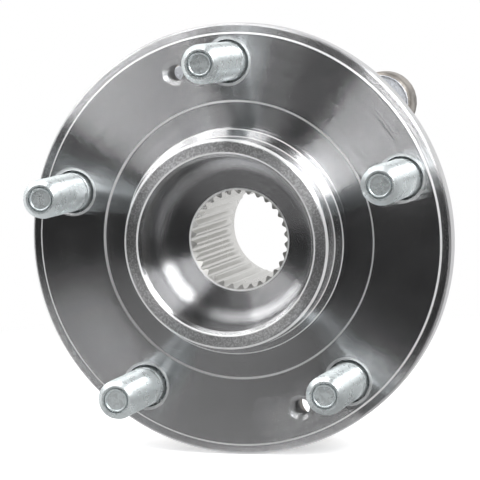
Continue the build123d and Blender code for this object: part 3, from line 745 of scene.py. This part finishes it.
def zinc_finish(colours, stud):
    """Blue-white zinc plating over rolled threads, slightly cloudy, blotched on the stamped end."""
    finish = Finish("zinc_plated_steel")
    place = finish.place()
    cloud = finish.noise(place, 260.0, 3.0, 0.6)
    grain = finish.noise(place, 3200.0, 2.0, 0.6)
    blotch = finish.noise(place, 900.0, 3.0, 0.6)
    end = finish.facing().below(-0.97) * finish.parts(place)[1].below(MM - stud.projection)
    colour = finish.mix(cloud.ramp(0.35, 0.7), rgba(colours.zinc), rgba(colours.zinc, 0.88))
    colour = finish.mix(end * blotch.ramp(0.42, 0.6), colour, rgba(colours.zinc, 0.74))
    return finish.surface(
        Base_Color=colour, Metallic=0.75, Roughness=cloud.ramp(0.3, 0.7, 0.24, 0.36),
        Normal=finish.bump(grain * 0.3 + cloud + blotch * end * 8.0, 0.006 * MM, 0.4),
    )


def forged_ring_finish(colours, ring):
    """Brown-grey forged skin with turned ends, bores and ear seats."""
    finish = Finish("forged_ring_steel")
    lathe = Lathe(finish)
    radius, at = lathe.radius, lathe.at
    seat = at.below(ring.ear_front_at + ring.spotface_depth + 0.15 * MM) * finish.facing().below(-0.9)
    seat = seat * radius.above(ring.ear_circle_radius - ring.ear_tip_radius - 1.4 * MM)
    back = at.above(ring.ear_front_at + ring.ear_thickness - 0.1 * MM)
    inside = radius.below(ring.body_radius - 0.9 * MM)
    machined = (seat + back + inside).ramp(0.4, 0.6)

    skin = finish.noise(lathe.place, 700.0, 4.0, 0.62)
    patches = finish.noise(lathe.place, 110.0, 3.0, 0.5)
    pits = finish.noise(lathe.place, 2200.0, 2.0, 0.6)
    lines = finish.noise(lathe.section, 2400.0, 3.0, 0.6)
    forged = finish.mix(patches.ramp(0.35, 0.65), rgba(colours.forged), rgba(colours.forged, 2.1))
    cut = finish.mix(lines.ramp(0.3, 0.7), rgba(colours.machined, 0.8), rgba(colours.machined, 0.66))
    cut = finish.mix(seat, cut, rgba(colours.machined))
    height = (skin + pits * 0.4) * (1 - machined) * 4.0 + lines * machined * 0.4
    return finish.surface(
        Base_Color=finish.mix(machined, forged, cut), Metallic=1 - seat * 0.7,
        Roughness=skin.ramp(0.3, 0.7, 0.42, 0.58) - machined * 0.22,
        Normal=finish.bump(height, 0.06 * MM, 0.8),
    )


def ground_race_finish(colours):
    """Ground bearing steel of the pressed inner ring."""
    finish = Finish("ground_race_steel")
    lathe = Lathe(finish)
    lines = finish.noise(lathe.section, 3000.0, 3.0, 0.6)
    cloud = finish.noise(lathe.place, 120.0, 2.0, 0.5)
    colour = finish.mix(lines.ramp(0.3, 0.7), rgba(colours.machined), rgba(colours.machined, 1.2))
    return finish.surface(
        Base_Color=colour, Metallic=1.0, Roughness=cloud.ramp(0.3, 0.7, 0.16, 0.24),
        Normal=lathe.grooved(0.5),
    )


def ball_finish(colours):
    """Polished balls with a faint oil cloud."""
    finish = Finish("polished_ball_steel")
    cloud = finish.noise(finish.place(), 300.0, 3.0, 0.5)
    colour = finish.mix(cloud.ramp(0.35, 0.65), rgba(colours.ball), rgba(colours.ball, 0.9))
    return finish.surface(
        Base_Color=colour, Metallic=1.0, Roughness=cloud.ramp(0.3, 0.7, 0.05, 0.11)
    )


def cage_finish(colours):
    """Natural polyamide with flow marks and a fine moulded texture."""
    finish = Finish("cage_plastic")
    place = finish.place()
    flow = finish.noise(place, 150.0, 3.0, 0.55)
    grain = finish.noise(place, 4200.0, 2.0, 0.6)
    colour = finish.mix(flow.ramp(0.35, 0.65), rgba(colours.cage), rgba(colours.cage, 0.88))
    return finish.surface(
        Base_Color=colour, Roughness=flow.ramp(0.3, 0.7, 0.38, 0.5),
        Normal=finish.bump(grain, 0.01 * MM, 0.6), Subsurface_Weight=0.08, Subsurface_Scale=MM,
    )


def seal_steel_finish(colours):
    """Pressed sheet steel with drawing lines and a light yellow-grey cast."""
    finish = Finish("pressed_seal_steel")
    lathe = Lathe(finish)
    lines = finish.noise(lathe.section, 1800.0, 3.0, 0.6)
    cloud = finish.noise(lathe.place, 200.0, 3.0, 0.6)
    colour = finish.mix(
        cloud.ramp(0.35, 0.65), rgba(colours.seal_steel), rgba(colours.seal_steel, 0.8)
    )
    return finish.surface(
        Base_Color=colour, Metallic=1.0, Roughness=cloud.ramp(0.3, 0.7, 0.26, 0.4),
        Normal=finish.bump(lines, 0.02 * MM, 0.6),
    )


def rubber_finish(slot, colours, fleck):
    """Moulded black rubber with a fine matt skin."""
    finish = Finish(slot)
    place = finish.place()
    skin = finish.noise(place, 3600.0, 2.0, 0.6)
    bloom = finish.noise(place, 180.0, 3.0, 0.6)
    colour = finish.mix(bloom.ramp(0.35, 0.7), rgba(colours.rubber), rgba(colours.rubber, fleck))
    return finish.surface(
        Base_Color=colour, Roughness=bloom.ramp(0.3, 0.7, 0.5, 0.66),
        Normal=finish.bump(skin, 0.02 * MM, 0.7),
    )


def dress(piece, material):
    """Gives a piece one finish and nothing else."""
    piece.data.materials.clear()
    piece.data.materials.append(material)
    return piece


# Pieces


def hub_front(hub):
    """Corners of the hub's half section, from the dish mouth over the rim to the outboard balls."""
    nose = -hub.nose_length
    land_inner, land_outer = nose_land(hub)
    rim_drop = hub.flange_thickness - hub.rim_thickness
    return [
        (land_inner - hub.dish_mouth_chamfer, nose + hub.dish_mouth_chamfer, 0.4 * MM),
        (land_inner, nose, 0.2 * MM),
        (land_outer, nose, 0.3 * MM),
        (hub.wheel_pilot_radius, nose + hub.nose_chamfer, 0.25 * MM),
        (hub.wheel_pilot_radius, pilot_cone_at(hub), 0.3 * MM),
        (hub.disc_pilot_radius, -hub.disc_pilot_height, 0.25 * MM),
        (hub.disc_pilot_radius, hub.face_relief_depth, 0.25 * MM),
        (hub.face_inner_radius - hub.face_relief_depth, hub.face_relief_depth, 0.1 * MM),
        (hub.face_inner_radius, 0, hub.edge_round),
        (hub.rim_band_radius, 0, hub.edge_round),
        (hub.rim_band_radius + hub.rim_band_depth, hub.rim_band_depth, 0.15 * MM),
        (hub.flange_radius - hub.rim_chamfer, hub.rim_band_depth, 0.2 * MM),
        (hub.flange_radius, hub.rim_band_depth + hub.rim_chamfer, 0.2 * MM),
        (hub.flange_radius, hub.rim_thickness, 0.25 * MM),
        (hub.flange_radius - rim_drop, hub.flange_thickness, 0.4 * MM),
        (hub.seal_land_radius, hub.flange_thickness, hub.root_fillet),
        (hub.seal_land_radius, hub.shoulder_at - (hub.seal_land_radius - hub.shoulder_radius), 0.2 * MM),
        (hub.shoulder_radius, hub.shoulder_at, 0.1 * MM),
    ]


def hub_back(hub):
    """Corners of the hub's half section, from the shaft round the collar and back to the dish."""
    tip, mouth = hub.spline_tip_radius, hub.bore_mouth_radius
    return [
        (hub.shaft_radius, hub.ring_seat_at, 0.3 * MM),
        (hub.ring_seat_radius, hub.ring_seat_at, 0.0),
        (hub.ring_seat_radius, hub.collar_at - hub.ring_seat_chamfer, 0.0),
        (hub.ring_seat_radius + hub.ring_seat_chamfer, hub.collar_at, 0.0),
        (hub.collar_radius, hub.collar_at, 0.0),
        (hub.collar_radius, hub.end_at - hub.collar_edge, 0.5 * MM),
        (hub.collar_radius - hub.collar_edge, hub.end_at, 0.4 * MM),
        (mouth + hub.bore_exit_width, hub.end_at, 0.3 * MM),
        (mouth, hub.end_at - hub.bore_exit_depth, 0.3 * MM),
        (mouth, hub.spline_end_at, 0.0),
        (tip, hub.spline_end_at - (mouth - tip), 0.1 * MM),
        (tip, hub.dish_floor_at + (mouth - tip), 0.1 * MM),
        (mouth, hub.dish_floor_at, 0.15 * MM),
    ]


def hub_section(hub, rows):
    """Half section of the hub with finely rounded edges."""
    wall = nose_land(hub)[0] - hub.dish_mouth_chamfer - hub.dish_wall_draft
    fillet_centre = (wall - hub.dish_fillet, hub.dish_floor_at - hub.dish_fillet)
    fillet = arc(fillet_centre, hub.dish_fillet, 90.0, 1.0, 12)
    race = arc((rows.pitch_radius, rows.outboard_at), rows.groove_radius, 256.6, 173.0, 14)
    shaft_start = Vector((hub.shaft_radius, hub.shaft_start_at))
    front = rounded(hub_front(hub) + [(race[0].x, race[0].y, 0.0)])
    back = rounded(hub_back(hub) + [(fillet[0].x, fillet[0].y, 0.0)])
    return front[:-1] + race + [shaft_start] + back[:-1] + fillet


def spline_cutter(hub):
    """All tooth spaces of the bore as one star-shaped bar."""
    pitch = TURN / hub.spline_teeth
    root, tip = hub.spline_root_radius, hub.spline_tip_radius
    half_mouth, half_bottom = pitch * 0.42, pitch * 0.15
    inner, crown = tip - 0.4 * MM, root + 0.12 * MM
    start = hub.dish_floor_at - OVERRUN
    space = [
        (inner, -half_mouth * 1.06), (tip, -half_mouth), (root, -half_bottom),
        (crown, -half_bottom * 0.5), (crown, half_bottom * 0.5),
        (root, half_bottom), (tip, half_mouth), (inner, half_mouth * 1.06),
    ]
    outline = [
        on_circle(radius, pitch * i + turn, start)
        for i in range(hub.spline_teeth) for radius, turn in space
    ]
    return bar("spline_cutter", outline, hub.spline_end_at - hub.dish_floor_at + OVERRUN)


def hole_cutter(name, section, centre):
    """A turned cutter, moved from the wheel axis to a hole's centre."""
    return moved(spun(name, section, 48), centre)


def stud_hole_section(stud, thickness):
    """Half section of a stud hole's cutter with its countersunk mouth."""
    knurl = stud.knurl_radius
    mouth = knurl + stud.hole_gap
    slope = stud.sink_width / stud.sink_depth
    return [
        Vector((0.0, -OVERRUN)),
        Vector((mouth + slope * (stud.sink_depth + OVERRUN), -OVERRUN)),
        Vector((mouth, stud.sink_depth)),
        Vector((mouth, 2.0 * MM)),
        Vector((knurl, 2.2 * MM)),
        Vector((knurl, thickness + OVERRUN)),
        Vector((0.0, thickness + OVERRUN)),
    ]


def screw_hole_section(hub):
    """Half section of a threaded hole's cutter: a countersink, then thread ridges."""
    crest, root, pitch = hub.screw_crest_radius, hub.screw_root_radius, hub.screw_pitch
    sink, end = hub.screw_sink_radius, hub.flange_thickness
    points = [
        Vector((0.0, -OVERRUN)), Vector((sink + OVERRUN, -OVERRUN)), Vector((crest, sink - crest)),
    ]
    at = sink - crest + 0.15 * MM
    while at < end - pitch * 0.4:
        points.append(Vector((crest, at)))
        points.append(Vector((root, at + pitch / 2)))
        at += pitch
    return points + [Vector((crest, end)), Vector((crest, end + OVERRUN)), Vector((0.0, end + OVERRUN))]


class HUBVIEW_OT_hub_flange(bpy.types.Operator):
    """Turns the hub with its nose, dish and flange, broaches the bore and drills the holes"""

    bl_idname = "hubview.hub_flange"
    bl_label = "Turn hub flange"

    def execute(self, context):
        scene = context.scene
        hub, stud = scene.hubview_hub, scene.hubview_stud
        piece = spun("hub_turned", hub_section(hub, scene.hubview_rows), hub.steps)
        combine(piece, spline_cutter(hub), "DIFFERENCE")
        stud_hole = stud_hole_section(stud, hub.flange_thickness)
        screw_hole = screw_hole_section(hub)
        holes = [hole_cutter("stud_hole", stud_hole, centre) for centre in stud_centres(stud)]
        holes += [hole_cutter("screw_hole", screw_hole, centre) for centre in screw_centres(hub, stud)]
        combine(piece, joined(holes, "hub_holes"), "DIFFERENCE")
        smoothed(piece)
        dress(piece, turned_hub_finish(scene.hubview_finish, hub, stud))
        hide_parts("hub_flange")
        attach(piece, "hub")
        return {"FINISHED"}


def stud_section(stud, thickness):
    """Half section of a stud at its thread's outer diameter."""
    end = -stud.projection
    thread = stud.thread_radius
    relief, relief_end = -stud.relief_at, stud.relief_width - stud.relief_at
    neck, shank = thread - stud.neck_depth, thread + stud.collar_height
    head_end = thickness + stud.head_height
    corners = [
        (0.0, end + stud.stamp_depth, 0.0),
        (stud.stamp_radius, end + stud.stamp_depth, 0.1 * MM),
        (stud.stamp_radius + 0.2 * MM, end, 0.08 * MM),
        (stud.ring_radius, end, 0.08 * MM),
        (stud.ring_radius + 0.05 * MM, end + stud.ring_groove_depth, 0.0),
        (stud.ring_groove_radius, end + stud.ring_groove_depth, 0.0),
        (stud.ring_groove_radius + 0.05 * MM, end + 0.08 * MM, 0.05 * MM),
        (stud.tip_radius, end + 0.08 * MM, 0.15 * MM),
        (thread, end + stud.tip_chamfer, 0.3 * MM),
        (thread, relief, 0.06 * MM),
        (thread - stud.relief_depth, relief + stud.relief_depth, 0.0),
        (thread - stud.relief_depth, relief_end - stud.relief_depth, 0.0),
        (thread, relief_end, 0.06 * MM),
        (thread, -0.6 * MM, 0.1 * MM),
        (neck, -0.3 * MM, 0.0),
        (neck, 2.0 * MM, 0.0),
        (shank, 2.3 * MM, 0.0),
        (shank, thickness, 0.0),
        (stud.head_radius, thickness, 0.15 * MM),
        (stud.head_radius, head_end - stud.head_edge, 0.3 * MM),
        (stud.head_radius - stud.head_edge, head_end, 0.3 * MM),
        (0.0, head_end, 0.0),
    ]
    return rounded(corners, 2)


def thread_cutter(stud):
    """The helical groove of the thread as a closed bar wound round the wheel axis."""
    pitch, outer = stud.thread_pitch, stud.thread_radius
    root, over = outer - stud.thread_depth, outer + 0.3 * MM
    half_mouth, half_root = pitch * 0.46, pitch * 0.08
    start = -stud.projection - pitch
    piece = draw_loop("thread_cutter", [
        (over, start - half_mouth, 0.0), (outer, start - half_mouth, 0.0),
        (root, start - half_root, 0.0), (root, start + half_root, 0.0),
        (outer, start + half_mouth, 0.0), (over, start + half_mouth, 0.0),
    ])
    bpy.ops.object.mode_set(mode="OBJECT")
    wind = piece.modifiers.new("wind", "SCREW")
    wind.axis = "Y"
    wind.screw_offset = pitch
    wind.iterations = int((stud.projection - stud.plain_length) / pitch) + 1
    wind.steps = 40
    wind.render_steps = wind.steps
    wind.use_merge_vertices = False
    bpy.ops.object.modifier_apply(modifier=wind.name)
    bpy.ops.object.mode_set(mode="EDIT")
    bpy.ops.mesh.select_all(action="SELECT")
    bpy.ops.mesh.fill_holes(sides=0)
    return clean_shell(piece)


def knurl_ridges(stud, thickness):
    """The ridged band of a stud that is pressed into the flange."""
    gap, sunk = 0.02 * MM, 0.2 * MM
    crest = stud.knurl_radius - gap
    start = thickness - stud.knurl_length
    outline = [
        on_circle(crest - stud.knurl_depth * (i % 2), math.pi / stud.knurl_ridges * i, start)
        for i in range(2 * stud.knurl_ridges)
    ]
    return bar("knurl", outline, stud.knurl_length + sunk)


class HUBVIEW_OT_wheel_studs(bpy.types.Operator):
    """Makes one threaded wheel stud and copies it to every place on the stud circle"""

    bl_idname = "hubview.wheel_studs"
    bl_label = "Make wheel studs"

    def execute(self, context):
        scene = context.scene
        hub, stud = scene.hubview_hub, scene.hubview_stud
        first = spun("stud", stud_section(stud, hub.flange_thickness), 64, closed=False)
        combine(first, thread_cutter(stud), "DIFFERENCE")
        combine(first, knurl_ridges(stud, hub.flange_thickness), "UNION")
        smoothed(first, 28)
        dress(first, zinc_finish(scene.hubview_finish, stud))
        for i, centre in enumerate(stud_centres(stud), 1):
            piece = copied(first, f"stud_threaded_{i}")
            moved(piece, centre)
            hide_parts(f"wheel_stud_{i}")
            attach(piece, "hub")
        pick(first)
        bpy.ops.object.delete()
        return {"FINISHED"}


def ring_section(ring, rows):
    """Half section of the outer ring with both raceways and seal bores."""
    back = ring.ear_front_at + ring.ear_thickness
    corners = [
        (ring.seal_bore_radius, ring.start_at, 0.2 * MM),
        (ring.body_radius, ring.start_at, 0.8 * MM),
        (ring.body_radius, ring.ear_front_at, 0.0),
        (ring.web_radius - ring.web_edge, ring.ear_front_at, 0.6 * MM),
        (ring.web_radius, ring.ear_front_at + ring.web_edge, 0.6 * MM),
        (ring.web_radius, back, 0.2 * MM),
        (ring.pilot_radius, back, 0.3 * MM),
        (ring.pilot_radius, ring.end_at, 0.8 * MM),
        (ring.seal_bore_radius, ring.end_at, 0.2 * MM),
        (ring.seal_bore_radius, rows.inboard_at + ring.seal_bore_reach, 0.0),
    ]
    mouth, shoulder = 10.8, 70.0
    inboard = arc((rows.pitch_radius, rows.inboard_at), rows.groove_radius, mouth, -shoulder, 10)
    outboard = arc((rows.pitch_radius, rows.outboard_at), rows.groove_radius, shoulder, -mouth, 10)
    last = Vector((ring.seal_bore_radius, rows.outboard_at - ring.seal_bore_reach))
    return rounded(corners) + inboard + outboard + [last]


def ring_ear(ring, angle):
    """One ear before it is drilled: a tapered plate with a round end and soft edges."""
    tip, root = ring.ear_tip_radius, ring.ear_root_radius
    centre, root_centre = ring.ear_circle_radius, ring.ear_root_at
    lean = math.acos((root - tip) / (centre - root_centre))
    front = ring.ear_front_at
    turns = [-lean + 2 * lean * k / 12 for k in range(13)]
    outline = [(centre + tip * math.cos(turn), front, tip * math.sin(turn)) for turn in turns]
    outline += [
        (root_centre + root * math.cos(turn), front, root * math.sin(turn)) for turn in (lean, -lean)
    ]
    piece = bar("ear", outline, ring.ear_thickness)
    edges = piece.modifiers.new("edges", "BEVEL")
    edges.width = ring.ear_edge
    edges.segments = 4
    edges.limit_method = "ANGLE"
    edges.angle_limit = math.radians(60)
    bpy.ops.object.modifier_apply(modifier=edges.name)
    bore = ring.seal_bore_radius + 2 * MM
    start, end = ring.start_at - 3 * OVERRUN, front + ring.ear_thickness + 5 * OVERRUN
    inside = [Vector((0.0, start)), Vector((bore, start)), Vector((bore, end)), Vector((0.0, end))]
    combine(piece, spun("ear_inside", inside, 64), "DIFFERENCE")
    return turned(piece, angle)


def ear_drill(ring, angle):
    """The solid that cuts the bolt hole of one ear and the machined seat round it."""
    start = ring.ear_front_at - 4 * OVERRUN
    seat = ring.ear_front_at + ring.spotface_depth
    end = ring.ear_front_at + ring.ear_thickness + 4 * OVERRUN
    hole, chamfer = ring.ear_hole_radius, ring.ear_hole_chamfer
    drill = [
        Vector((0.0, start)), Vector((ring.spotface_radius, start)),
        Vector((ring.spotface_radius, seat)), Vector((hole + chamfer, seat)),
        Vector((hole, seat + chamfer)), Vector((hole, end)), Vector((0.0, end)),
    ]
    return turned(hole_cutter("ear_drill", drill, (ring.ear_circle_radius, 0, 0)), angle)


class HUBVIEW_OT_outer_ring(bpy.types.Operator):
    """Makes the fixed outer ring with its forged ears"""

    bl_idname = "hubview.outer_ring"
    bl_label = "Forge outer ring"

    def execute(self, context):
        scene = context.scene
        ring = scene.hubview_ring
        piece = spun("outer_ring_forged", ring_section(ring, scene.hubview_rows), 144)
        angles = [ring.first_angle + TURN / ring.ears * i for i in range(ring.ears)]
        for angle in angles:
            combine(piece, ring_ear(ring, angle), "UNION")
        for angle in angles:
            combine(piece, ear_drill(ring, angle), "DIFFERENCE")
        smoothed(piece)
        dress(piece, forged_ring_finish(scene.hubview_finish, ring))
        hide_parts("outer_ring")
        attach(piece, "outer")
        return {"FINISHED"}


class HUBVIEW_OT_inner_parts(bpy.types.Operator):
    """Gives the races, balls, cages and seals inside the bearing their finishes"""

    bl_idname = "hubview.inner_parts"
    bl_label = "Finish inner parts"

    def execute(self, context):
        colours = context.scene.hubview_finish
        balls = [name for name in NODES if name.startswith("ball_")]
        seal_steel = ["seal_outboard_case", "seal_inboard_case", "seal_inboard_slinger"]
        seal_lips = ["seal_outboard_lip", "seal_inboard_lip"]
        for material, names in (
            (ground_race_finish(colours), ["inner_ring"]),
            (ball_finish(colours), balls),
            (cage_finish(colours), ["cage_outboard", "cage_inboard"]),
            (seal_steel_finish(colours), seal_steel),
            (rubber_finish("seal_rubber", colours, 1.5), seal_lips),
            (rubber_finish("encoder_rubber", colours, 2.0), ["encoder_ring"]),
        ):
            for name in names:
                dress(NODES[name], material)
        return {"FINISHED"}


# Stage

# Dark gaps in the studio's white horizon: angle round the wheel axis and half width, in degrees
HORIZON_GAPS = ((-6.0, 20.0), (76.0, 9.0), (176.0, 13.0))
# Soft edge of such a gap, in degrees
GAP_FADE = 6.0
# Name, angle round the wheel axis and lean from the wheel side in degrees, width and height in
# metres, power in watts and colour
LAMPS = (
    ("lamp_upper_right", 40.0, 51.0, 0.60, 0.44, 6.9, (1.0, 1.0, 1.0)),
    ("lamp_side_right", 45.0, 80.0, 0.34, 0.34, 2.4, (0.97, 0.99, 1.0)),
    ("lamp_upper_left", 139.5, 57.5, 0.62, 0.29, 3.3, (1.0, 1.0, 1.0)),
    ("lamp_side_left", 144.0, 86.0, 0.40, 0.30, 1.1, (1.0, 1.0, 1.0)),
    ("lamp_above", 103.0, 69.5, 0.71, 0.51, 3.6, (1.0, 1.0, 1.0)),
)


def soft_lamp(name, angle, lean, distance, width, height, power, colour):
    """A rectangular lamp facing the hub.

    The angle runs round the wheel axis from +X towards +Z and the lean away from the wheel side.
    """
    across = math.sin(lean)
    place = Vector((across * math.cos(angle), -math.cos(lean), across * math.sin(angle))) * distance
    bpy.ops.object.light_add(type="AREA", location=place)
    lamp = bpy.context.object
    lamp.name = name
    lamp.data.shape = "RECTANGLE"
    lamp.data.size = width
    lamp.data.size_y = height
    lamp.data.energy = power
    lamp.data.color = colour
    back = place.normalized()
    outward = on_circle(1.0, angle)
    up = (outward - back * outward.dot(back)).normalized()
    right = up.cross(back)
    turn = Matrix((right, up, back)).transposed()
    lamp.matrix_world = Matrix.Translation(place) @ turn.to_4x4()
    return lamp


class HUBVIEW_OT_stage(bpy.types.Operator):
    """Sets up the floor, the studio, the lamps and the camera"""

    bl_idname = "hubview.stage"
    bl_label = "Set stage"

    def execute(self, context):
        stage = context.scene.hubview_stage
        self.floor(stage)
        self.room(context.scene, stage)
        self.lamps(stage.lamp_distance)
        self.camera(context.scene, stage)
        context.scene.view_settings.view_transform = "Standard"
        return {"FINISHED"}

    def floor(self, stage):
        """Lays a white floor that keeps the hub's shadow."""
        pick_none()
        bpy.ops.mesh.primitive_plane_add(size=stage.floor_size, location=(0, 0, stage.floor_at))
        floor = bpy.context.object
        floor.name = "studio_floor"
        bpy.ops.object.transform_apply(location=True, rotation=True, scale=True)
        finish = Finish("studio_floor")
        place = finish.place()
        wide = finish.noise(place, 0.8)
        paper = finish.mix(wide.ramp(0.3, 0.7), grey(1.0), (0.98, 0.98, 0.985, 1.0))
        finish.surface(Base_Color=paper, Roughness=1.0, Specular_IOR_Level=0.0)
        lit = Value(finish, finish.shader.outputs["BSDF"])
        glow = finish.emission(grey(1.0), stage.floor_glow)
        bright = finish.node("ShaderNodeAddShader", {}, {0: lit, 1: glow})
        away = finish.vectors("LENGTH", place, output="Value")
        away = away.ramp(stage.shadow_radius, stage.white_radius)
        white = finish.mix_shaders(away, bright, finish.emission(grey(1.0)))
        seen = finish.mix_shaders(finish.ray("Is Camera Ray"), lit, white)
        reflected = finish.emission(self.reflected_floor(finish, place, stage))
        shown = finish.mix_shaders(finish.ray("Is Glossy Ray"), seen, reflected)
        finish.feed(finish.tree.nodes["Material Output"], {"Surface": shown})
        dress(floor, finish.material)

    def reflected_floor(self, finish, place, stage):
        """The greys that the metal sees in the floor: a patch in front and white behind."""
        middle = (stage.card_x, stage.card_y, stage.floor_at)
        off = finish.distance(place, middle).ramp(stage.card_radius, stage.card_fade_radius)
        patch = finish.mix(off, grey(stage.card_grey), grey(stage.card_dark))
        behind = finish.parts(place)[1].ramp(-stage.strip_depth, 0.0)
        return finish.mix(behind, patch, grey(stage.strip_grey))

    def room(self, scene, stage):
        """A dark studio with a white horizon and back wall for the metal, white for the camera."""
        world = bpy.data.worlds.new("studio_room")
        scene.world = world
        world.use_nodes = True
        world.node_tree.nodes.clear()
        room = ShaderNodes(world.node_tree)
        towards = room.node("ShaderNodeTexCoord", {}, {}, "Generated")
        along_axis = room.parts(towards)[1]
        white = along_axis.ramp(-0.30, 0.0)
        for angle, reach in HORIZON_GAPS:
            middle = on_circle(1.0, math.radians(angle))
            near = room.vectors("DOT_PRODUCT", towards, middle, output="Value")
            outer, inner = math.cos(math.radians(reach + GAP_FADE)), math.cos(math.radians(reach))
            white = white * near.ramp(outer, inner, 1.0, 0.0)
        white = white.at_least(along_axis.ramp(0.35, 0.6)).at_least(room.ray("Is Camera Ray"))
        dark_wall = room.node("ShaderNodeBackground", {}, {"Color": grey(stage.room_grey)})
        white_wall = room.node("ShaderNodeBackground", {}, {"Color": grey(1.0)})
        output = room.tree.nodes.new("ShaderNodeOutputWorld")
        room.feed(output, {"Surface": room.mix_shaders(white, dark_wall, white_wall)})

    def lamps(self, away):
        """Hangs the soft lamps round the hub."""
        for name, angle, lean, width, height, power, colour in LAMPS:
            soft_lamp(name, math.radians(angle), math.radians(lean), away, width, height, power, colour)

    def camera(self, scene, stage):
        """Aims a long lens at the wheel side."""
        azimuth, elevation = stage.azimuth, stage.elevation
        level = math.cos(elevation)
        back = Vector((math.sin(azimuth) * level, -math.cos(azimuth) * level, math.sin(elevation)))
        side = Vector((math.cos(azimuth), math.sin(azimuth), 0))
        over = back.cross(side)
        up = over * math.cos(stage.roll) + side * math.sin(stage.roll)
        right = side * math.cos(stage.roll) - over * math.sin(stage.roll)
        place = Vector(stage.aim) + back * stage.distance
        bpy.ops.object.camera_add(location=place)
        camera = bpy.context.object
        camera.name = "photo_camera"
        camera.data.lens = stage.lens
        camera.data.sensor_width = 36.0
        camera.data.clip_start = 0.02
        camera.data.clip_end = 50.0
        turn = Matrix((right, up, back)).transposed()
        camera.matrix_world = Matrix.Translation(place) @ turn.to_4x4()
        scene.camera = camera


class HUBVIEW_PT_pieces(bpy.types.Panel):
    """Lists the steps that build the visual model"""

    bl_idname = "HUBVIEW_PT_pieces"
    bl_label = "Hub Bearing"
    bl_space_type = "VIEW_3D"
    bl_region_type = "UI"
    bl_category = "Hub Bearing"

    def draw(self, context):
        for step in STEPS:
            self.layout.operator(step.bl_idname)
        for group in GROUPS:
            box = self.layout.box()
            sizes = getattr(context.scene, group)
            for name in sizes.bl_rna.properties.keys():
                if name not in ("rna_type", "name"):
                    box.prop(sizes, name)


GROUPS = {
    "hubview_hub": HubSizes,
    "hubview_stud": StudSizes,
    "hubview_ring": RingSizes,
    "hubview_rows": RowSizes,
    "hubview_finish": FinishColours,
    "hubview_stage": StageSettings,
}
STEPS = [
    HUBVIEW_OT_hub_flange,
    HUBVIEW_OT_wheel_studs,
    HUBVIEW_OT_outer_ring,
    HUBVIEW_OT_inner_parts,
    HUBVIEW_OT_stage,
]
CLASSES = list(GROUPS.values()) + STEPS + [HUBVIEW_PT_pieces]


def register():
    """Registers the classes and gives the scene its groups of settings."""
    for made in CLASSES:
        bpy.utils.register_class(made)
    for name, group in GROUPS.items():
        setattr(bpy.types.Scene, name, bpy.props.PointerProperty(type=group))


def unregister():
    """Takes the settings and the classes away again."""
    for name in GROUPS:
        delattr(bpy.types.Scene, name)
    for made in reversed(CLASSES):
        bpy.utils.unregister_class(made)


def main():
    """Builds the visual model step by step."""
    register()
    bpy.ops.hubview.hub_flange()
    bpy.ops.hubview.wheel_studs()
    bpy.ops.hubview.outer_ring()
    bpy.ops.hubview.inner_parts()
    bpy.ops.hubview.stage()


if __name__ == "__main__":
    main()
